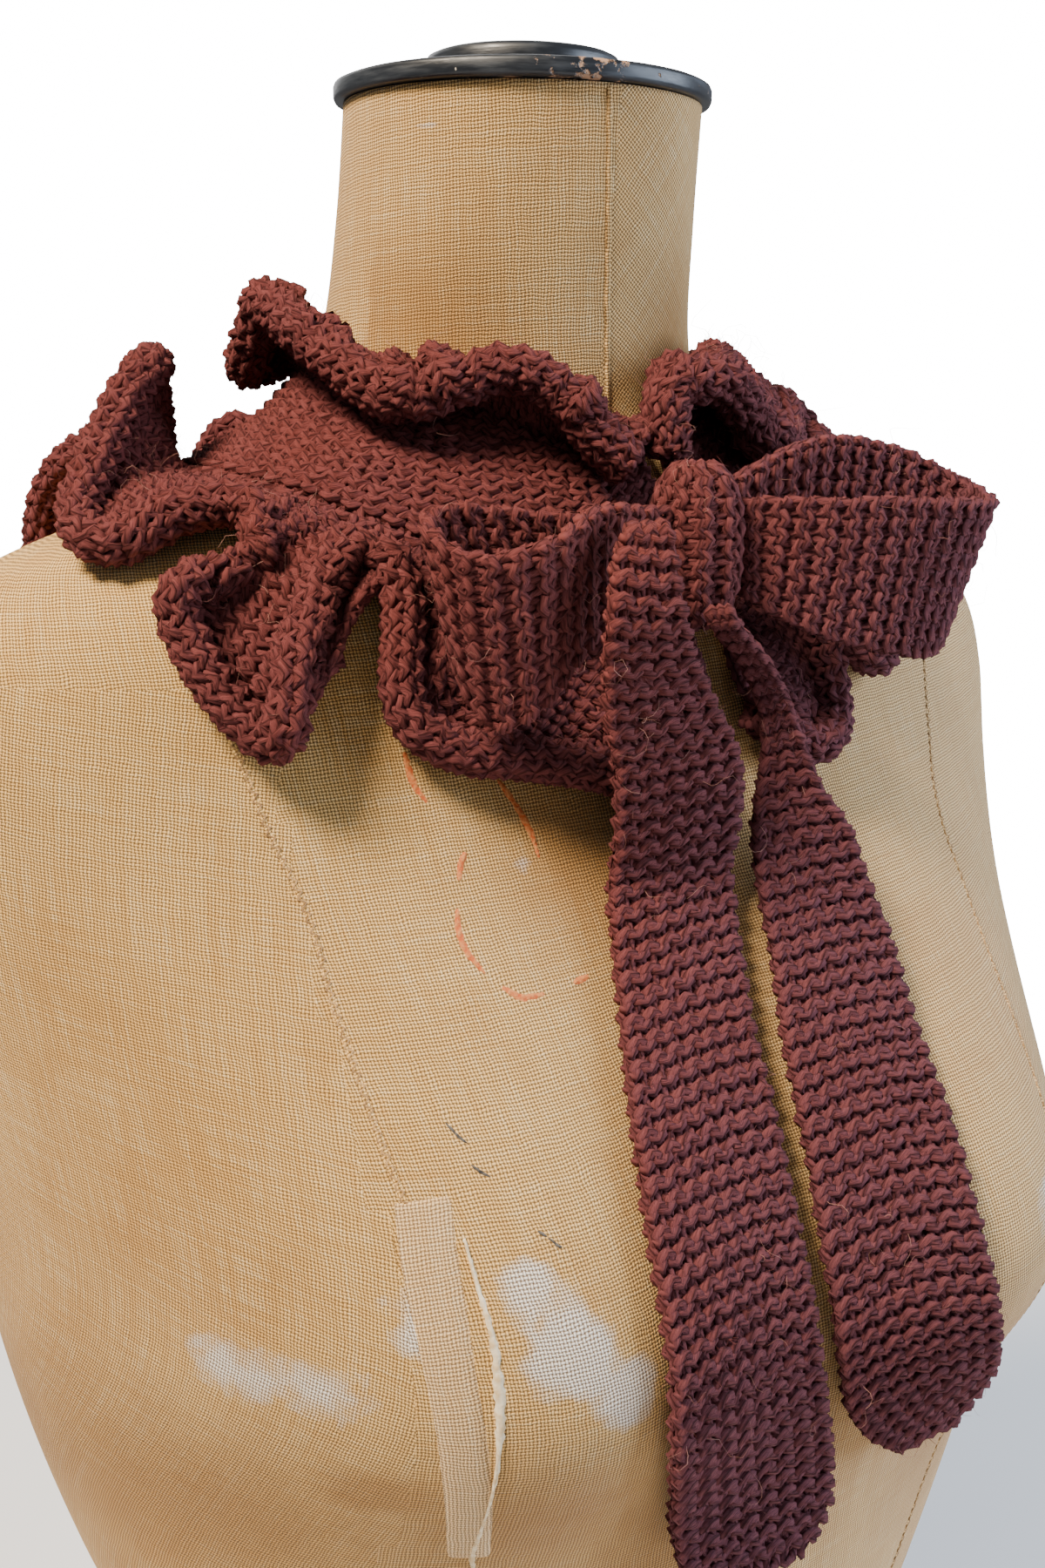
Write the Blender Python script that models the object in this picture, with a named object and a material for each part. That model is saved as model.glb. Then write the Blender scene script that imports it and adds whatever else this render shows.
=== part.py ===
"""A hand-knitted ruff collar, tied in a bow at the front of a linen-covered dress form.

Metres, +Z up. The form faces -Y and stands on Z = 0, and the middle of its neck's root is on the Z axis.
Angles round the neck are in degrees from the centre front, towards the form's own left (+X).
"""
import bmesh
import bpy
import numpy as np

# ---------------------------------------------------------------- driving sizes
MM = 0.001
CLOTH = 0.0050            # thickness of the knitted cloth
ROLL = 0.0110             # thickness of a ruffle's rolled free edge
RUFFLE_GAP = 0.0026       # between the band and the ruffles knitted on to it
SEAM_GAP = 0.0004         # between pieces that are fixed to each other
CLEAR = 0.0012            # least air between the cloth and the dress form
RUFFLE_AIR = 0.0030       # the same under the ruffles, whose folds bridge the form's curves
ROOT_AIR = 0.0008         # the same at the ruffles' roots
KNEE_SHARE = 0.75         # how much of the band's thickness the upper ruffle's second row clears
MOST_SLOPE = 3.0          # the steepest part of the form that cloth is measured square to
OPENING = 12.0            # angle of the collar's front opening
OPENING_HALF = 3.0        # half of that opening's width, in degrees

# Cells of each mesh: round or along the piece, then across it.
FORM_RINGS, FORM_SIDES = 34, 40
BAND_STEPS, BAND_ROWS = 56, 4
UPPER_STEPS, LOWER_STEPS = 108, 184
CURVE_STEPS, PLAIN_ROWS = 24, 4
LOOP_STEPS, STRAP_ROWS = 26, 4
TIE_STEPS = 34
KNOT_RINGS, KNOT_SIDES = 12, 16
CAP_SIDES = 48
LOOKUP_STEPS = 300

# The band lies round the root of the neck.
BAND_TOP_REACH = 0.0680
BAND_LOW_FRONT, BAND_LOW_SIDE = 0.0870, 0.1020
BAND_PUFF = 0.0020
ROLL_TIP = 0.35           # how far the roll's outermost line lies past its last row
ROLL_AT = (-0.75, 0.0, 0.7)   # rows across the roll, in half thicknesses from its middle
ROLL_SPAN = 0.95              # where the plain cloth ends, in rolls from the free edge
SHARP = 50                # angle over which an edge of the mesh stays sharp

# Horizontal sections of the dress form, from the base up.
# Columns: height, half_width, front, back, ahead.
FORM_SECTIONS = np.array([
    (0.000, 0.150, 0.112, 0.112, 0.030),
    (0.060, 0.143, 0.104, 0.098, 0.034),
    (0.110, 0.133, 0.094, 0.088, 0.038),
    (0.160, 0.129, 0.090, 0.084, 0.042),   # waist
    (0.220, 0.147, 0.106, 0.096, 0.042),
    (0.280, 0.169, 0.122, 0.109, 0.034),
    (0.340, 0.184, 0.130, 0.116, 0.024),
    (0.400, 0.191, 0.129, 0.118, 0.014),
    (0.460, 0.199, 0.118, 0.119, 0.005),
    (0.500, 0.205, 0.106, 0.119, 0.000),
    (0.532, 0.205, 0.095, 0.117, 0.000),
    (0.556, 0.196, 0.087, 0.110, 0.000),   # shoulder point
    (0.574, 0.172, 0.080, 0.101, 0.000),
    (0.587, 0.140, 0.074, 0.091, 0.000),
    (0.599, 0.107, 0.068, 0.080, 0.000),
    (0.610, 0.082, 0.064, 0.071, 0.000),   # neck seam
    (0.625, 0.067, 0.0600, 0.065, 0.001),
    (0.646, 0.0595, 0.0570, 0.060, 0.004),
    (0.680, 0.0565, 0.0560, 0.057, 0.009),
    (0.7125, 0.0555, 0.0555, 0.0555, 0.013),
])
BUST_HEIGHT, BUST_APART, BUST_OUT = 0.385, 0.172, 0.048
BUST_SPREAD, BUST_ABOVE, BUST_BELOW, BUST_FACING = 0.075, 0.080, 0.062, 1.6
SEAM_ROW, CHEST_ROW = 15, 9
CAP_THICK, CAP_OVERHANG, BOSS_THICK, BOSS_REACH = 0.0055, 0.0030, 0.0085, 0.0300

# Upper ruffle: a row for each turn of its free edge round the neck, and the crown its sheet bends over.
# Columns: angle, edge_reach, edge_height, crown_reach, crown_height.
UPPER_FOLLOW = 0.55       # how far the ruffle's root follows its edge round the neck
UPPER_FOLDS = np.array([
    (7, 79, 603, 72, 622),
    (5.5, 79, 617, 70, 634),
    (8.5, 82, 627, 69, 641),
    (14.5, 86, 629, 70, 643),
    (22, 88, 627, 72, 642),
    (29, 88, 618, 77, 638),
    (35, 90, 608, 82, 632),
    (45, 91, 605, 82, 632),
    (58, 91, 613, 78, 640),
    (72, 92, 612, 77, 640),
    (87, 94, 614, 78, 640),
    (102, 83, 634, 80, 636),
    (125, 97, 622, 74, 652),
    (148, 82, 644, 80, 638),
    (171, 95, 626, 75, 658),
    (194, 82, 648, 80, 642),
    (216, 93, 630, 76, 656),
    (232, 84, 640, 78, 650),
    (247, 82, 628, 76, 646),
    (257, 81, 636, 74, 656),
    (265, 82, 649, 73, 666),
    (274, 80, 645, 72, 661),
    (284, 79, 638, 72, 652),
    (297, 79, 628, 71, 642),
    (310, 80, 617, 71, 632),
    (320, 79, 621, 70, 638),
    (329, 78, 628, 69, 643),
    (336, 78, 628, 70, 642),
    (343, 79, 622, 72, 636),
    (349, 82, 612, 76, 626),
    (355, 84, 603, 82, 614),
])

# Lower ruffle: a row for each turn of its free edge as it winds over the form, five or six to a fold.
# Lift is above lying on the form, in millimetres, as reach is.
# Columns: angle, reach, lift.
KNEE_OUT, KNEE_LIFT = 0.62, 0.25
PUSHES = 3                # times that the push is worked out and made
EASE = 2                  # neighbours on each side that a raised point raises with it
EDGE_BLUR, BASE_BLUR = 5, 33      # points averaged, for the edge's path and for its place on the band
LOWER_FOLDS = np.array([
    (16, 104, 3),
    (24, 112, 0),
    (31, 119, 0),
    (35, 112, 3),
    (34, 105, 5),
    (39, 104, 7),
    (42, 113, 4),
    (41, 121, 0),
    (47, 126, 0),
    (54, 121, 1),
    (56, 108, 12),
    (63, 101, 20),
    (68, 112, 12),
    (66, 132, 0),
    (75, 141, 0),
    (82, 130, 8),
    (80, 112, 20),
    (88, 108, 24),
    (92, 122, 14),
    (90, 142, 2),
    (99, 148, 0),
    (106, 136, 6),
    (104, 114, 22),
    (112, 108, 24),
    (117, 120, 12),
    (115, 131, 2),
    (124, 135, 0),
    (131, 124, 6),
    (130, 108, 20),
    (138, 103, 22),
    (143, 112, 12),
    (141, 118, 2),
    (149, 119, 0),
    (156, 112, 6),
    (155, 101, 18),
    (163, 98, 20),
    (168, 106, 12),
    (167, 112, 2),
    (175, 112, 0),
    (182, 107, 6),
    (181, 99, 18),
    (189, 98, 20),
    (194, 107, 14),
    (193, 113, 6),
    (201, 116, 10),
    (206, 114, 22),
    (205, 110, 38),
    (209, 122, 56),
    (214, 140, 60),
    (218, 162, 58),
    (224, 183, 60),
    (230, 183, 48),
    (237, 158, 32),
    (243, 136, 24),
    (250, 122, 26),
    (258, 114, 35),
    (268, 118, 38),
    (275, 142, 22),
    (280, 157, 6),
    (285, 157, 0),
    (288, 145, 2),
    (288, 135, 7),
    (293, 127, 7),
    (299, 120, 5),
    (301, 128, 3),
    (295, 145, 2),
    (293, 151, 0),
    (298, 149, 2),
    (304, 143, 2),
    (310, 136, 1),
    (308, 124, 5),
    (305, 115, 7),
    (308, 108, 7),
    (313, 106, 6),
    (317, 111, 5),
    (316, 119, 2),
    (313, 121, 1),
    (319, 121, 0),
    (329, 113, 0),
    (340, 108, 0),
    (350, 107, 1),
    (359, 112, 2),
    (366, 113, 3),
])

# Bow and ties. A strap's rows: where its middle runs, how wide it is, and how far its foot leans in.
KNOT_MIDDLE = (0.0055, -0.1030, 0.5855)
KNOT_HALF = (0.0105, 0.0120, 0.0225)
KNOT_SQUARE, KNOT_END = 0.75, 84    # power that squares it, latitude where its flat ends begin
# Columns: side, out, height, half_width, lean.
LEFT_LOOP = np.array([
    (-9, 107, 588, 9, 0),
    (-21, 111, 584, 14, -2),
    (-38, 117, 580, 19, -5),
    (-56, 123, 569, 24, -10),
    (-71, 117, 565, 24, -14),
    (-77, 105, 577, 19, -13),
    (-66, 96, 584, 15, -8),
    (-40, 97, 583, 13, -2),
    (-9, 99, 587, 9, 0),
])
RIGHT_LOOP = np.array([
    (18, 108, 585, 14, 0),
    (40, 120, 579, 20, 0),
    (64, 125, 576, 23, 2),
    (85, 122, 574, 24, 10),
    (102, 113, 576, 22, 17),
    (104, 102, 584, 20, 14),
    (88, 94, 592, 20, 4),
    (56, 94, 597, 18, 0),
    (18, 99, 591, 12, 0),
])
# Columns: height, side, off, half_width, twist.
LEFT_TIE = np.array([
    (594, -28, 58, 6, 0),
    (586, -31, 57, 9.5, 4),
    (572, -32, 53, 12, 5),
    (558, -28, 44, 15, 4),
    (544, -22, 36, 18, 2),
    (526, -14, 27, 21, 0),
    (508, -11.5, 16, 21, 0),
    (494, -12, 7, 21, 0),
    (474, -16, 5, 21.5, 0),
    (452, -21.5, 5, 22.5, 0),
    (432, -25.5, 5, 25, 0),
    (412, -28.5, 5, 26, 0),
    (392, -29, 5, 27, 0),
    (368, -27.5, 5, 28, 0),
    (340, -20, 6, 28.5, 0),
    (320, -15, 9, 27.5, 0),
    (309, -14.5, 11, 24, 0),
    (302, -15, 12, 18, 0),
])
RIGHT_TIE = np.array([
    (568, 2, 37, 3.5, -30),
    (562, 9, 31, 3.5, -30),
    (552, 20, 25, 4, -30),
    (540, 28, 20, 4.5, -30),
    (528, 31.5, 17, 6, -30),
    (514, 32.5, 14, 10, -28),
    (502, 34, 13, 15.5, -22),
    (490, 34.5, 11, 17.5, -15),
    (468, 34.5, 8, 20.5, -6),
    (444, 31.5, 6, 23, 0),
    (424, 30.5, 5, 24, 0),
    (402, 29, 5, 24.5, 0),
    (378, 31, 5, 25.5, 0),
    (362, 35, 5, 26, 0),
    (347, 40, 5.5, 26, 0),
    (335, 45, 6, 22, 0),
    (327, 48, 7, 15, 0),
    (321, 50, 7.5, 8, 0),
])

WOOL = (0.19, 0.045, 0.042)
LINEN = (0.52, 0.35, 0.17)
PAINT = (0.012, 0.014, 0.018)


def smooth_rows(rows, at, closed=False):
    """Catmull-Rom through the rows of a table, at fractional row numbers."""
    rows = np.asarray(rows, float)
    last = len(rows) if closed else len(rows) - 1
    i = np.minimum(np.floor(at).astype(int), last - 1)
    f = (at - i)[:, None]

    def row(k):
        return rows[k % len(rows)] if closed else rows[np.clip(k, 0, last)]
    a, b, c, d = row(i - 1), row(i), row(i + 1), row(i + 2)
    return b + 0.5 * f * (c - a + f * (2 * a - 5 * b + 4 * c - d + f * (3 * (b - c) + d - a)))


def form_section(rows_up):
    """height, half width, front and back of the form at fractional row numbers."""
    return smooth_rows(FORM_SECTIONS, np.asarray(rows_up, float))


def bust(x, height, facing):
    """How far two rounded swellings stand out: facing is 1 where the form faces forwards, 0 at its side."""
    drop = (height - BUST_HEIGHT) / np.where(height > BUST_HEIGHT, BUST_ABOVE, BUST_BELOW)
    rise = np.exp(-drop ** 2) * sum(np.exp(-((x - side * BUST_APART / 2) / BUST_SPREAD) ** 2)
                                    for side in (-1, 1))
    return BUST_OUT * rise * np.clip(BUST_FACING * facing, 0, 1)


def form_at(angle, rows_up):
    """Points of the form's surface: angle in degrees round the neck's axis, rows_up up its table.

    A section is two half ellipses, so its radius is 1 / sqrt((sin / half)^2 + (cos / depth)^2).
    """
    angle, rows_up = np.broadcast_arrays(np.asarray(angle, float), np.asarray(rows_up, float))
    z, half, front, back, ahead = form_section(rows_up.ravel()).T.reshape(5, *angle.shape)
    turn = np.radians(angle)
    depth = np.where(np.cos(turn) > 0, front, back)
    radius = 1 / np.sqrt((np.sin(turn) / half) ** 2 + (np.cos(turn) / depth) ** 2)
    x = radius * np.sin(turn)
    y = -ahead - radius * np.cos(turn)
    return np.stack([x, y - bust(x, z, radius * np.cos(turn) / depth), z], -1)


def form_height(angle, reach):
    """Height of the form's top side, shoulders and chest, at a distance from the neck's axis."""
    angle, reach = np.broadcast_arrays(np.asarray(angle, float), np.asarray(reach, float))
    rows_up = np.linspace(SEAM_ROW + 2.0, CHEST_ROW, LOOKUP_STEPS)
    line = form_at(angle.ravel()[:, None], rows_up[None, :])
    out = np.maximum.accumulate(np.hypot(line[..., 0], line[..., 1]), axis=1)
    step = np.clip((out < reach.ravel()[:, None]).sum(1), 1, LOOKUP_STEPS - 1)
    row = np.arange(len(step))
    near, far = out[row, step - 1], out[row, step]
    part = np.clip((reach.ravel() - near) / np.maximum(far - near, 1e-9), 0, 1)
    height = line[row, step - 1, 2] * (1 - part) + line[row, step, 2] * part
    return height.reshape(angle.shape)


def form_reach(angle, height):
    """Reach of the form's surface at heights above its chest, at each angle."""
    rows_up = between(CHEST_ROW, len(FORM_SECTIONS) - 1, LOOKUP_STEPS)
    angle, height = np.broadcast_arrays(angle, height)
    around = between(0, 360, FORM_SIDES * 4)
    ups = form_at(around[:, None] + 0 * rows_up, rows_up + 0 * around[:, None])
    reaches = np.array([np.interp(height.ravel(), line[:, 2], np.hypot(line[:, 0], line[:, 1]))
                        for line in ups])
    place = (angle.ravel() % 360) / 360 * (len(around) - 1)
    low = np.minimum(place.astype(int), len(around) - 2)
    each = np.arange(place.size)
    mixed = reaches[low, each] + (place - low) * (reaches[low + 1, each] - reaches[low, each])
    return mixed.reshape(angle.shape)


def height_over(angle, reach, gap):
    """Height of a point this far from the form's surface, measured square to it."""
    step = MM
    slope = (form_height(angle, reach - step) - form_height(angle, reach + step)) / (2 * step)
    return form_height(angle, reach) + gap * np.sqrt(1 + np.clip(slope, 0, MOST_SLOPE) ** 2)


def form_front(x, height):
    """y of the form's front side at x and height."""
    x, height = np.broadcast_arrays(np.asarray(x, float), np.asarray(height, float))
    fine = np.linspace(0, len(FORM_SECTIONS) - 1, LOOKUP_STEPS)
    rows_up = np.interp(height.ravel(), form_section(fine)[:, 0], fine)
    z, half, front, back, ahead = form_section(rows_up).T.reshape(5, *x.shape)
    cover = np.sqrt(np.clip(1 - (x / half) ** 2, 0, 1))
    return -ahead - front * cover - bust(x, z, cover)


def polar(angle, reach, height):
    """Points from angles in degrees round the neck's axis, distances from it and heights."""
    turn = np.radians(angle)
    return np.stack([reach * np.sin(turn), -reach * np.cos(turn), height + 0 * turn], -1)


def between(start, end, count):
    """count numbers from start to end, ends included."""
    return np.linspace(start, end, count)


def blend_rows(table, count):
    """A table's rows as a smooth run of count rows from its first to its last."""
    return smooth_rows(table, between(0, len(table) - 1, count))


def ruffle_sheet(start, knee, end):
    """Quadratic Beziers from each start to each end, pulled towards each knee.

    Each is cut at even lengths up to the rolled edge, then where the roll swells, is thickest and turns.
    """
    w = between(0, 1, CURVE_STEPS)[None, :, None]
    start, knee, end = start[:, None, :], knee[:, None, :], end[:, None, :]
    curve = (1 - w) ** 2 * start + 2 * w * (1 - w) * knee + w ** 2 * end
    run = np.linalg.norm(np.diff(curve, axis=1), axis=2).cumsum(1)
    run = np.pad(run, ((0, 0), (1, 0)))
    whole = run[:, -1:]
    plain = between(0, 1, PLAIN_ROWS)[None, :] * (whole - ROLL_SPAN * ROLL)
    rolled = whole - (1 - np.array(ROLL_AT))[None, :] * ROLL / 2
    cuts = np.concatenate([plain, rolled], axis=1)
    return np.array([[np.interp(cut, length, line[:, k]) for k in range(3)]
                     for cut, length, line in zip(cuts, run, curve)]).transpose(0, 2, 1)


def ruffle_half():
    """Half the thickness at each row across a ruffle: the cloth, then a round roll along its edge."""
    rolled = np.sqrt(1 - np.array(ROLL_AT) ** 2) * ROLL / 2
    return np.concatenate([np.full(PLAIN_ROWS, CLOTH / 2), np.maximum(rolled, CLOTH / 2)])


# ---------------------------------------------------------------- collar
def band_ring(angle, down):
    """Reach of the band's surface: down is 0 at its upper edge and 1 at its lower."""
    top = BAND_TOP_REACH + 0 * angle
    side = np.abs(np.sin(np.radians(angle)))
    low = BAND_LOW_FRONT + (BAND_LOW_SIDE - BAND_LOW_FRONT) * side ** 2
    return top + (low - top) * down


def round_band(steps):
    """Angles from one end of the band, at the front opening, round the neck to the other."""
    return between(OPENING + OPENING_HALF, OPENING + 360 - OPENING_HALF, steps)


def neck_band_middle():
    angle = round_band(BAND_STEPS)[:, None]
    down = between(0, 1, BAND_ROWS)[None, :]
    angle, reach = angle + 0 * down, band_ring(angle, down)
    gap = CLEAR + CLOTH / 2 + BAND_PUFF * np.sin(np.pi * down)
    return polar(angle, reach, height_over(angle, reach, gap))


def band_edge(angle, edge, inside):
    """A seam's width beyond one edge of the band, where a ruffle grows from it."""
    middle = neck_band_middle()
    across = middle[:, edge] - middle[:, inside]
    across /= np.linalg.norm(across, axis=1, keepdims=True)
    line = middle[:, edge] + across * (CLOTH + RUFFLE_GAP)
    return np.stack([np.interp(angle, round_band(BAND_STEPS), xyz) for xyz in line.T], -1)


def blurred(values, width):
    """A weighted mean over this many neighbours, with the ends left where they are."""
    padded = np.pad(values, width // 2, mode="reflect", reflect_type="odd")
    weights = np.hanning(width + 2)[1:-1]
    return np.convolve(padded, weights / weights.sum(), mode="valid")


def cleared(sheet, gap):
    """The sheet pushed off the form, square to it, where a row across it comes nearer than its gap."""
    room = np.concatenate([np.full(PLAIN_ROWS, CLOTH / 2), np.full(len(ROLL_AT), ROLL / 2)])
    for _ in range(PUSHES):
        x, y, height = np.moveaxis(sheet, -1, 0)
        angle, reach = np.degrees(np.arctan2(x, -y)), np.hypot(x, y)
        level = reach - form_reach(angle, height)
        plumb = height - form_height(angle, reach)
        size = np.hypot(level, plumb)
        off = np.sign(level) * np.abs(level * plumb) / size
        need = np.pad(np.maximum(np.array(gap) + room - off, 0), ((EASE, EASE), (0, 0)), mode="edge")
        widest = np.max([need[k:k + len(sheet)] for k in range(2 * EASE + 1)], axis=0)
        push = np.column_stack([blurred(column, EDGE_BLUR) for column in widest.T])
        sheet = polar(angle, reach + push * np.abs(plumb) / size, height + push * np.abs(level) / size)
    return sheet


def upper_ruffle_middle():
    rows = blend_rows(UPPER_FOLDS, UPPER_STEPS)
    angle, edge_reach, edge_height, crown_reach, crown_height = (rows * MM).T
    angle = angle / MM
    ends = round_band(UPPER_STEPS)
    ease = np.sin(np.pi * between(0, 1, UPPER_STEPS)) ** 0.5
    base_angle = ends + UPPER_FOLLOW * (angle - ends) * ease
    knee = polar((angle + base_angle) / 2, crown_reach, crown_height)
    end = polar(angle, edge_reach, edge_height)
    sheet = ruffle_sheet(band_edge(base_angle, 0, 1), knee, end)
    over_band = RUFFLE_AIR + CLOTH + BAND_PUFF
    return cleared(sheet, (ROOT_AIR, over_band * KNEE_SHARE) + (over_band,) * (sheet.shape[1] - 2))


def lower_ruffle_middle():
    path = blend_rows(LOWER_FOLDS, CURVE_STEPS * len(LOWER_FOLDS))
    run = path[:, 1] * np.radians(np.gradient(path[:, 0]))
    run = np.sqrt(run ** 2 + np.gradient(path[:, 1]) ** 2 + np.gradient(path[:, 2]) ** 2).cumsum()
    even = between(run[0], run[-1], LOWER_STEPS)
    angle, reach, lift = (blurred(np.interp(even, run, column), EDGE_BLUR) for column in path.T)
    reach, lift = reach * MM, np.maximum(lift * MM, 0)
    ends = round_band(LOWER_STEPS)
    ease = np.sin(np.pi * between(0, 1, LOWER_STEPS)) ** 0.5
    base_angle = ends + (blurred(angle, BASE_BLUR) - ends) * ease
    start = band_edge(base_angle, -1, -2)
    rest = CLEAR + ROLL / 2
    end = polar(angle, reach, form_height(angle, reach) + rest + lift)
    start_reach = np.hypot(start[:, 0], start[:, 1])
    knee_reach = start_reach + (reach - start_reach) * KNEE_OUT
    knee_angle = (angle + base_angle) / 2
    knee = polar(knee_angle, knee_reach,
                 form_height(knee_angle, knee_reach) + rest + KNEE_LIFT * lift)
    sheet = ruffle_sheet(start, knee, end)
    return cleared(sheet, (ROOT_AIR,) + (RUFFLE_AIR,) * (sheet.shape[1] - 1))


def ring_normals(middle):
    """Unit normals of a grid of points, and the unit direction across it."""
    along, across = np.gradient(middle, axis=0), np.gradient(middle, axis=1)
    normal = np.cross(along, across)
    normal /= np.linalg.norm(normal, axis=-1, keepdims=True)
    across /= np.linalg.norm(across, axis=-1, keepdims=True)
    return normal, across


def strap_middle(table, steps):
    """A strap standing on edge, whose width runs up and leans by the table's angle."""
    side, out, height, half, lean = blend_rows(table, steps).T
    path = np.column_stack([side, -out, height]) * MM
    along = np.gradient(path, axis=0)
    level = np.cross(along, (0, 0, 1))
    level /= np.linalg.norm(level, axis=1, keepdims=True)
    lean = np.radians(lean)[:, None]
    width = np.cos(lean) * np.array((0, 0, 1.0)) + np.sin(lean) * level
    across = between(-1, 1, STRAP_ROWS)[None, :, None]
    return path[:, None, :] + across * width[:, None, :] * (half * MM)[:, None, None]


def tie_middle(table):
    """A tie that hangs down the form's front, its width following the form."""
    height, side, off, half, twist = blend_rows(table, TIE_STEPS).T
    twist = np.radians(twist)[:, None]
    across = between(-1, 1, STRAP_ROWS)[None, :] * (half * MM)[:, None]
    x = (side * MM)[:, None] + across * np.cos(twist)
    z = (height * MM)[:, None] + 0 * across
    y = form_front(x, z) - (off * MM)[:, None] - CLEAR + across * np.sin(twist)
    return np.stack([x, y, z], -1)


# ---------------------------------------------------------------- objects
def material(name, colour, roughness):
    made = bpy.data.materials.new(name)
    made.use_nodes = True
    shader = made.node_tree.nodes["Principled BSDF"]
    shader.inputs["Base Color"].default_value = (*colour, 1)
    shader.inputs["Roughness"].default_value = roughness
    return made


def solid(name, points, faces, look):
    """One object from points and faces, its faces turned outwards."""
    mesh = bpy.data.meshes.new(name)
    mesh.from_pydata([tuple(p) for p in points], [], faces)
    work = bmesh.new()
    work.from_mesh(mesh)
    bmesh.ops.recalc_face_normals(work, faces=work.faces)
    work.to_mesh(mesh)
    work.free()
    mesh.shade_smooth()
    mesh.set_sharp_from_angle(angle=np.radians(SHARP))
    mesh.materials.append(look)
    made = bpy.data.objects.new(name, mesh)
    bpy.context.scene.collection.objects.link(made)
    return made


def cloth(name, middle, half, look, tip=1.0):
    """A wall round a grid of points, half as thick on each side, its long edges drawn to a tip."""
    steps, rows = middle.shape[:2]
    half = np.broadcast_to(half, (steps, rows))[..., None]
    normal, across = ring_normals(middle)
    first = middle[:, :1] - across[:, :1] * half[:, :1]
    last = middle[:, -1:] + across[:, -1:] * half[:, -1:] * tip
    ring = np.concatenate([middle + normal * half, last,
                           (middle - normal * half)[:, ::-1], first], axis=1)
    count = 2 * rows + 2
    faces = [(i * count + k, i * count + (k + 1) % count,
              (i + 1) * count + (k + 1) % count, (i + 1) * count + k)
             for i in range(steps - 1) for k in range(count)]
    for at in (0, (steps - 1) * count):
        facing = [at + k for k in range(rows)]
        behind = [at + 2 * rows - k for k in range(rows)]
        faces += [(facing[k], facing[k + 1], behind[k + 1], behind[k]) for k in range(rows - 1)]
        faces += [(facing[-1], at + rows, behind[-1]), (facing[0], behind[0], at + count - 1)]
    return solid(name, ring.reshape(-1, 3), faces, look)


def stacked_rings(name, rings, look):
    """A solid through closed rings of points, from its foot to its top, with flat ends."""
    levels, sides = rings.shape[:2]
    faces = [(i * sides + k, i * sides + (k + 1) % sides,
              (i + 1) * sides + (k + 1) % sides, (i + 1) * sides + k)
             for i in range(levels - 1) for k in range(sides)]
    faces.append(tuple(range(sides)))
    faces.append(tuple(range((levels - 1) * sides, levels * sides)))
    return solid(name, rings.reshape(-1, 3), faces, look)


def form_body(look):
    rows_up = between(0, len(FORM_SECTIONS) - 1, FORM_RINGS)
    angle = between(0, 360, FORM_SIDES + 1)[:-1]
    return stacked_rings("form_body", form_at(angle[None, :], rows_up[:, None]), look)


def disc(name, reach, foot, top, look):
    """A round plate over the neck, its rim rounded."""
    turn = np.radians(between(0, 360, CAP_SIDES + 1)[:-1])
    soft = (top - foot) / 4
    levels = [(reach - soft, foot), (reach, foot + soft), (reach, top - soft), (reach - soft, top)]
    middle = -FORM_SECTIONS[-1][-1]
    rings = np.array([np.column_stack([r * np.sin(turn), middle - r * np.cos(turn), 0 * turn + z])
                      for r, z in levels])
    return stacked_rings(name, rings, look)


def bow_knot(look):
    """A rounded barrel: a superellipsoid, squarer than an ellipsoid by KNOT_SQUARE."""
    up = np.radians(between(-KNOT_END, KNOT_END, KNOT_RINGS))[:, None]
    turn = np.radians(between(0, 360, KNOT_SIDES + 1)[:-1])[None, :]

    def soft(value):
        return np.sign(value) * np.abs(value) ** KNOT_SQUARE
    unit = np.stack([soft(np.cos(up)) * soft(np.cos(turn)), soft(np.cos(up)) * soft(np.sin(turn)),
                     soft(np.sin(up)) + 0 * turn], -1)
    return stacked_rings("bow_knot", unit * KNOT_HALF + np.array(KNOT_MIDDLE), look)


def build():
    for old in list(bpy.data.objects):
        bpy.data.objects.remove(old)
    wool = material("wool", WOOL, 0.95)
    linen = material("linen", LINEN, 0.90)
    paint = material("black paint", PAINT, 0.45)

    form_body(linen)
    neck_top = FORM_SECTIONS[-1][0] + SEAM_GAP
    neck_reach = FORM_SECTIONS[-1][1]
    cap_top = neck_top + CAP_THICK
    disc("neck_cap", neck_reach + CAP_OVERHANG, neck_top, cap_top, paint)
    disc("cap_boss", BOSS_REACH, cap_top + SEAM_GAP, cap_top + SEAM_GAP + BOSS_THICK, paint)

    cloth("neck_band", neck_band_middle(), CLOTH / 2, wool)
    for name, middle in (("upper_ruffle", upper_ruffle_middle()), ("lower_ruffle", lower_ruffle_middle())):
        cloth(name, middle, ruffle_half(), wool, ROLL_TIP)
    cloth("bow_loop_left", strap_middle(LEFT_LOOP, LOOP_STEPS), CLOTH / 2, wool)
    cloth("bow_loop_right", strap_middle(RIGHT_LOOP, LOOP_STEPS), CLOTH / 2, wool)
    bow_knot(wool)
    cloth("tie_left", tie_middle(LEFT_TIE), CLOTH / 2, wool)
    cloth("tie_right", tie_middle(RIGHT_TIE), CLOTH / 2, wool)


build()
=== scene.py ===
# %% [markdown]
# # A hand-knitted ruff collar on a dress form
#
# The real piece is a narrow knitted band round the neck, with one ruffle that stands up from its
# top edge and a fuller one that lies over the shoulders from its lower edge. Two garter-stitch ties
# are knotted in a bow at the front. It is worn by a limbless dress form that is covered in old linen.
#
# Knitting could be a bump map on a smooth sheet, but then its outline stays smooth and its shadows
# are painted. Here the yarn itself is modelled: every row is one strand that follows the loops of
# its stitches over the surface of the cloth.

# %% Load the frame
from collections import namedtuple

import bpy
import numpy as np
from mathutils import Matrix


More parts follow.
